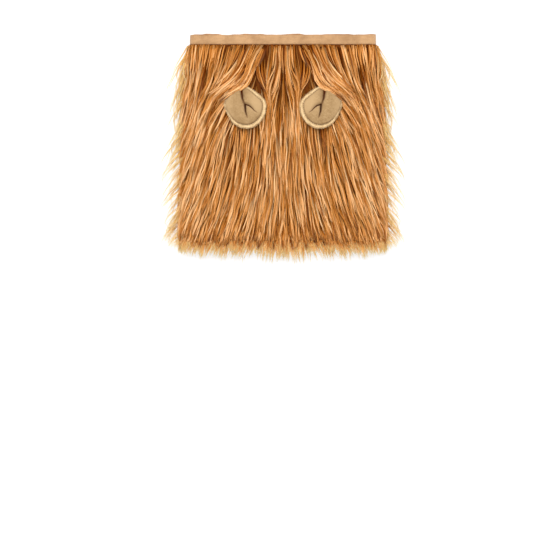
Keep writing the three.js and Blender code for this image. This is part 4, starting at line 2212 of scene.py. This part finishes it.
TOP_COAT = Growth(
    stretch=(0.0, 0.95), rows=38, columns=36, hairs=5, length=(60 * MM, 98 * MM),
    lift=(2 * MM, 10 * MM), radius=0.46 * MM, spread=(1.6 * MM, 0.8 * MM),
    wave=(0.3 * MM, 1.2 * MM), tone=(0.53, 0.38), seed=101, past=(-3 * MM, 14 * MM),
)
SEAM_ROW = Growth(
    stretch=(0.0, 1.04), rows=2, columns=64, hairs=4, length=(34 * MM, 62 * MM),
    lift=(3.4 * MM, 8 * MM), radius=0.5 * MM, spread=(1.3 * MM, 0.7 * MM),
    wave=(0.3 * MM, 1.0 * MM), tone=(0.52, 0.36), seed=151, span=(-0.002, 0.012), shown_from=0.45,
    root_lift=-2.4 * MM,
)
FOLD_COAT = Growth(
    stretch=(0.9, 1.2), rows=38, columns=5, hairs=5, length=(36 * MM, 56 * MM),
    lift=(1 * MM, 5 * MM), radius=0.45 * MM, spread=(1.9 * MM, 0.6 * MM),
    wave=(0.3 * MM, 1.2 * MM), tone=(0.74, 0.24), seed=201, flare=5.0, jitter=5.0,
)
NECK_WISPS = Growth(
    stretch=(0.94, 1.08), rows=26, columns=4, hairs=6, length=(46 * MM, 88 * MM),
    lift=(1 * MM, 5 * MM), radius=0.25 * MM, spread=(2.6 * MM, 1.6 * MM),
    wave=(0.4 * MM, 1.8 * MM), tone=(0.5, 0.4), seed=301, span=(0.0, 0.42), flare=27.0,
    jitter=8.0, taper=FINE_TAPER,
)
SIDE_WISPS = Growth(
    stretch=(0.94, 1.06), rows=36, columns=4, hairs=6, length=(24 * MM, 62 * MM),
    lift=(1 * MM, 5 * MM), radius=0.24 * MM, spread=(3.0 * MM, 1.4 * MM),
    wave=(0.4 * MM, 1.4 * MM), tone=(0.5, 0.4), seed=311, span=(0.36, 1.0),
    past=(4 * MM, 28 * MM), flare=46.0, jitter=10.0, taper=FINE_TAPER,
)
HEM_FRINGE = Growth(
    stretch=(0.0, 1.06), rows=7, columns=94, hairs=4, length=(24 * MM, 64 * MM),
    lift=(0 * MM, 2.5 * MM), radius=0.46 * MM, spread=(2.2 * MM, 2.0 * MM),
    wave=(0.2 * MM, 1.2 * MM), tone=(0.4, 0.4), seed=351, span=(0.915, 1.0),
    past=(7 * MM, 38 * MM), past_bias=0.95, flare=7.0, jitter=9.0, sag=1.5, taper=FINE_TAPER,
)
UNDER_FRINGE = Growth(
    stretch=(1.0, 2.0), rows=2, columns=38, hairs=5, length=(20 * MM, 54 * MM),
    lift=(0 * MM, 2 * MM), radius=0.28 * MM, spread=(1.8 * MM, 0.9 * MM),
    wave=(0.2 * MM, 1.2 * MM), tone=(0.5, 0.3), seed=371, span=(0.95, 1.0),
    past=(2 * MM, 26 * MM), jitter=7.0,
)
UNDER_COAT = Growth(
    stretch=(1.1, 2.0), rows=18, columns=19, hairs=5, length=(50 * MM, 76 * MM),
    lift=(0.5 * MM, 3.2 * MM), radius=0.84 * MM, spread=(2.8 * MM, 0.9 * MM),
    wave=(0.3 * MM, 1.4 * MM), tone=(0.56, 0.28), seed=401,
)
UNDER_SEAM = Growth(
    stretch=(1.02, 2.0), rows=1, columns=44, hairs=3, length=(30 * MM, 52 * MM),
    lift=(0.6 * MM, 2.4 * MM), radius=0.8 * MM, spread=(1.8 * MM, 0.9 * MM),
    wave=(0.3 * MM, 1.0 * MM), tone=(0.54, 0.28), seed=451, span=(-0.002, 0.01), shown_from=0.4,
)
SWEPT = Strands(
    hairs=5, radius=0.56 * MM, spread=(1.4 * MM, 0.7 * MM), tone=(0.48, 0.5), seed=501,
    shown_from=0.15,
)


@dataclass
class Coat:
    """Groups the hair into pieces of a workable size and dresses them."""

    pelt: Pelt
    long_hair: HairTemplate
    short_hair: HairTemplate
    fine_hair: HairTemplate

    def build(self) -> list[bpy.types.Object]:
        """Grow and dress all hair.

        Returns:
            The pieces of hair.
        """
        pelt, long_hair = self.pelt, self.long_hair
        top = pelt.grown(TOP_COAT, long_hair.rings)
        x = top.guides[:, 0, 0]
        third = pelt.frame.hem_half * 0.32
        parts = {
            "front_hair_left": x < -third,
            "front_hair_middle": np.abs(x) <= third,
            "front_hair_right": x > third,
        }
        pieces = [
            self.dressed(name, top.chosen(mask), long_hair, COAT, "front_fur")
            for name, mask in parts.items()
        ]
        dresser = LockDresser(pelt, SWEPT)
        locks = [dresser.hairs(lock, long_hair.rings) for lock in (OUTER_LOCK, INNER_LOCK)]
        pieces.append(self.dressed("swept_locks", Hairs.together(locks), long_hair, COAT))
        short, fine = self.short_hair, self.fine_hair
        for name, growth, template, finish, nodes in (
            ("seam_hair", SEAM_ROW, short, COAT, ("front_fur",)),
            ("fold_hair", FOLD_COAT, fine, COAT, ("front_fur",)),
            ("neck_wisps", NECK_WISPS, short, WISPS, ()),
            ("side_wisps", SIDE_WISPS, fine, WISPS, ()),
            ("hem_fringe", HEM_FRINGE, fine, FRINGE, ()),
            ("under_fringe", UNDER_FRINGE, fine, FRINGE, ()),
            ("underside_hair", UNDER_COAT, fine, COAT, ("back_fur",)),
            ("underside_seam_hair", UNDER_SEAM, fine, COAT, ("back_fur",)),
        ):
            hairs = pelt.grown(growth, template.rings)
            pieces.append(self.dressed(name, hairs, template, finish, *nodes))
        return pieces

    def dressed(
        self, name: str, hairs: Hairs, template: HairTemplate, finish: HairFinish, *nodes: str
    ) -> bpy.types.Object:
        """Make and dress one piece of hair.

        Args:
            name: Name of the piece.
            hairs: Its hairs.
            template: The hair that they are copies of.
            finish: Its finish.
            *nodes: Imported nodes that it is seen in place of.

        Returns:
            The piece.
        """
        piece = hairs.as_piece(name, template)
        finish_piece(piece, finish, "fur", *nodes)
        return piece


# Studio


@dataclass(frozen=True)
class Studio:
    """Floor, light and camera, set to the photograph's framing."""

    frame: ManeFrame
    image_size: int = 540
    mm_per_pixel: float = 1.65
    middle_column: float = 283.0
    band_top_row: float = 34.0
    focal_length: float = 135.0
    sensor: float = 36.0
    view_range: float = 50.0
    coat_depth: float = 4 * MM
    floor_size: float = 12.0
    world_strength: float = 1.0
    softbox_size: tuple[float, float] = (1.6, 1.2)
    softbox_power: float = 26.0
    softbox_place: Point = (-0.2, 0.75, 1.8)

    def build(self) -> None:
        """Set the floor, the lights and the camera."""
        self.floor()
        self.lights()
        self.camera()
        bpy.context.scene.view_settings.view_transform = "Standard"

    def floor(self) -> None:
        """Lay the floor under the costume."""
        floor = new_piece("floor", bpy.ops.mesh.primitive_plane_add, size=self.floor_size)
        floor.data.materials.append(FLOOR.material())

    def lights(self) -> None:
        """Hang a large soft light overhead, towards the neck end, and light all else evenly."""
        world = bpy.data.worlds.new("studio")
        world.use_nodes = True
        background = world.node_tree.nodes["Background"]
        background.inputs["Color"].default_value = (*WHITE, 1.0)
        background.inputs["Strength"].default_value = self.world_strength
        bpy.context.scene.world = world
        data = bpy.data.lights.new("softbox", "AREA")
        data.shape = "RECTANGLE"
        data.size, data.size_y = self.softbox_size
        data.energy = self.softbox_power
        lamp = bpy.data.objects.new("softbox", data)
        bpy.context.collection.objects.link(lamp)
        lamp.location = self.softbox_place
        aim = Vector((0, 0, 0)) - lamp.location
        lamp.rotation_euler = aim.to_track_quat("-Z", "Y").to_euler()

    def camera(self) -> None:
        """Hang the camera straight over the middle of the photograph's frame."""
        data = bpy.data.cameras.new("camera")
        data.lens = self.focal_length
        data.sensor_width = self.sensor
        camera = bpy.data.objects.new("camera", data)
        bpy.context.collection.objects.link(camera)
        half = self.image_size / 2
        pixel = self.mm_per_pixel * MM
        x = (half - self.middle_column) * pixel
        y = self.frame.band_top_y - (half - self.band_top_row) * pixel
        away = self.image_size * pixel * self.focal_length / self.sensor
        coat_height = self.frame.bed_top + self.coat_depth
        camera.location = (x, y, coat_height + away)
        data.clip_end = self.view_range
        bpy.context.scene.camera = camera


def main() -> None:
    """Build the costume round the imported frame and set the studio."""
    logging.basicConfig(level=logging.INFO, format="%(name)s: %(message)s")
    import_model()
    bpy.ops.object.select_all(action="DESELECT")
    frame = ManeFrame.read()
    Studio(frame).build()
    shape = EarShape(frame)
    NeckBand(frame).build()
    beds = [
        PileBed(frame, "front_pile_bed", "front_fur", is_top=True).build(),
        PileBed(frame, "back_pile_bed", "back_fur", is_top=False).build(),
    ]
    templates = [HairTemplate(rings) for rings in (7, 6, 5)]
    coat = Coat(Pelt(frame, shape, Comb(frame)), *templates).build()
    Backing(frame).build(beds + coat)
    nap = HairTemplate(3)
    for side in Side:
        Ear(shape, side).build(nap)


if __name__ == "__main__":
    main()
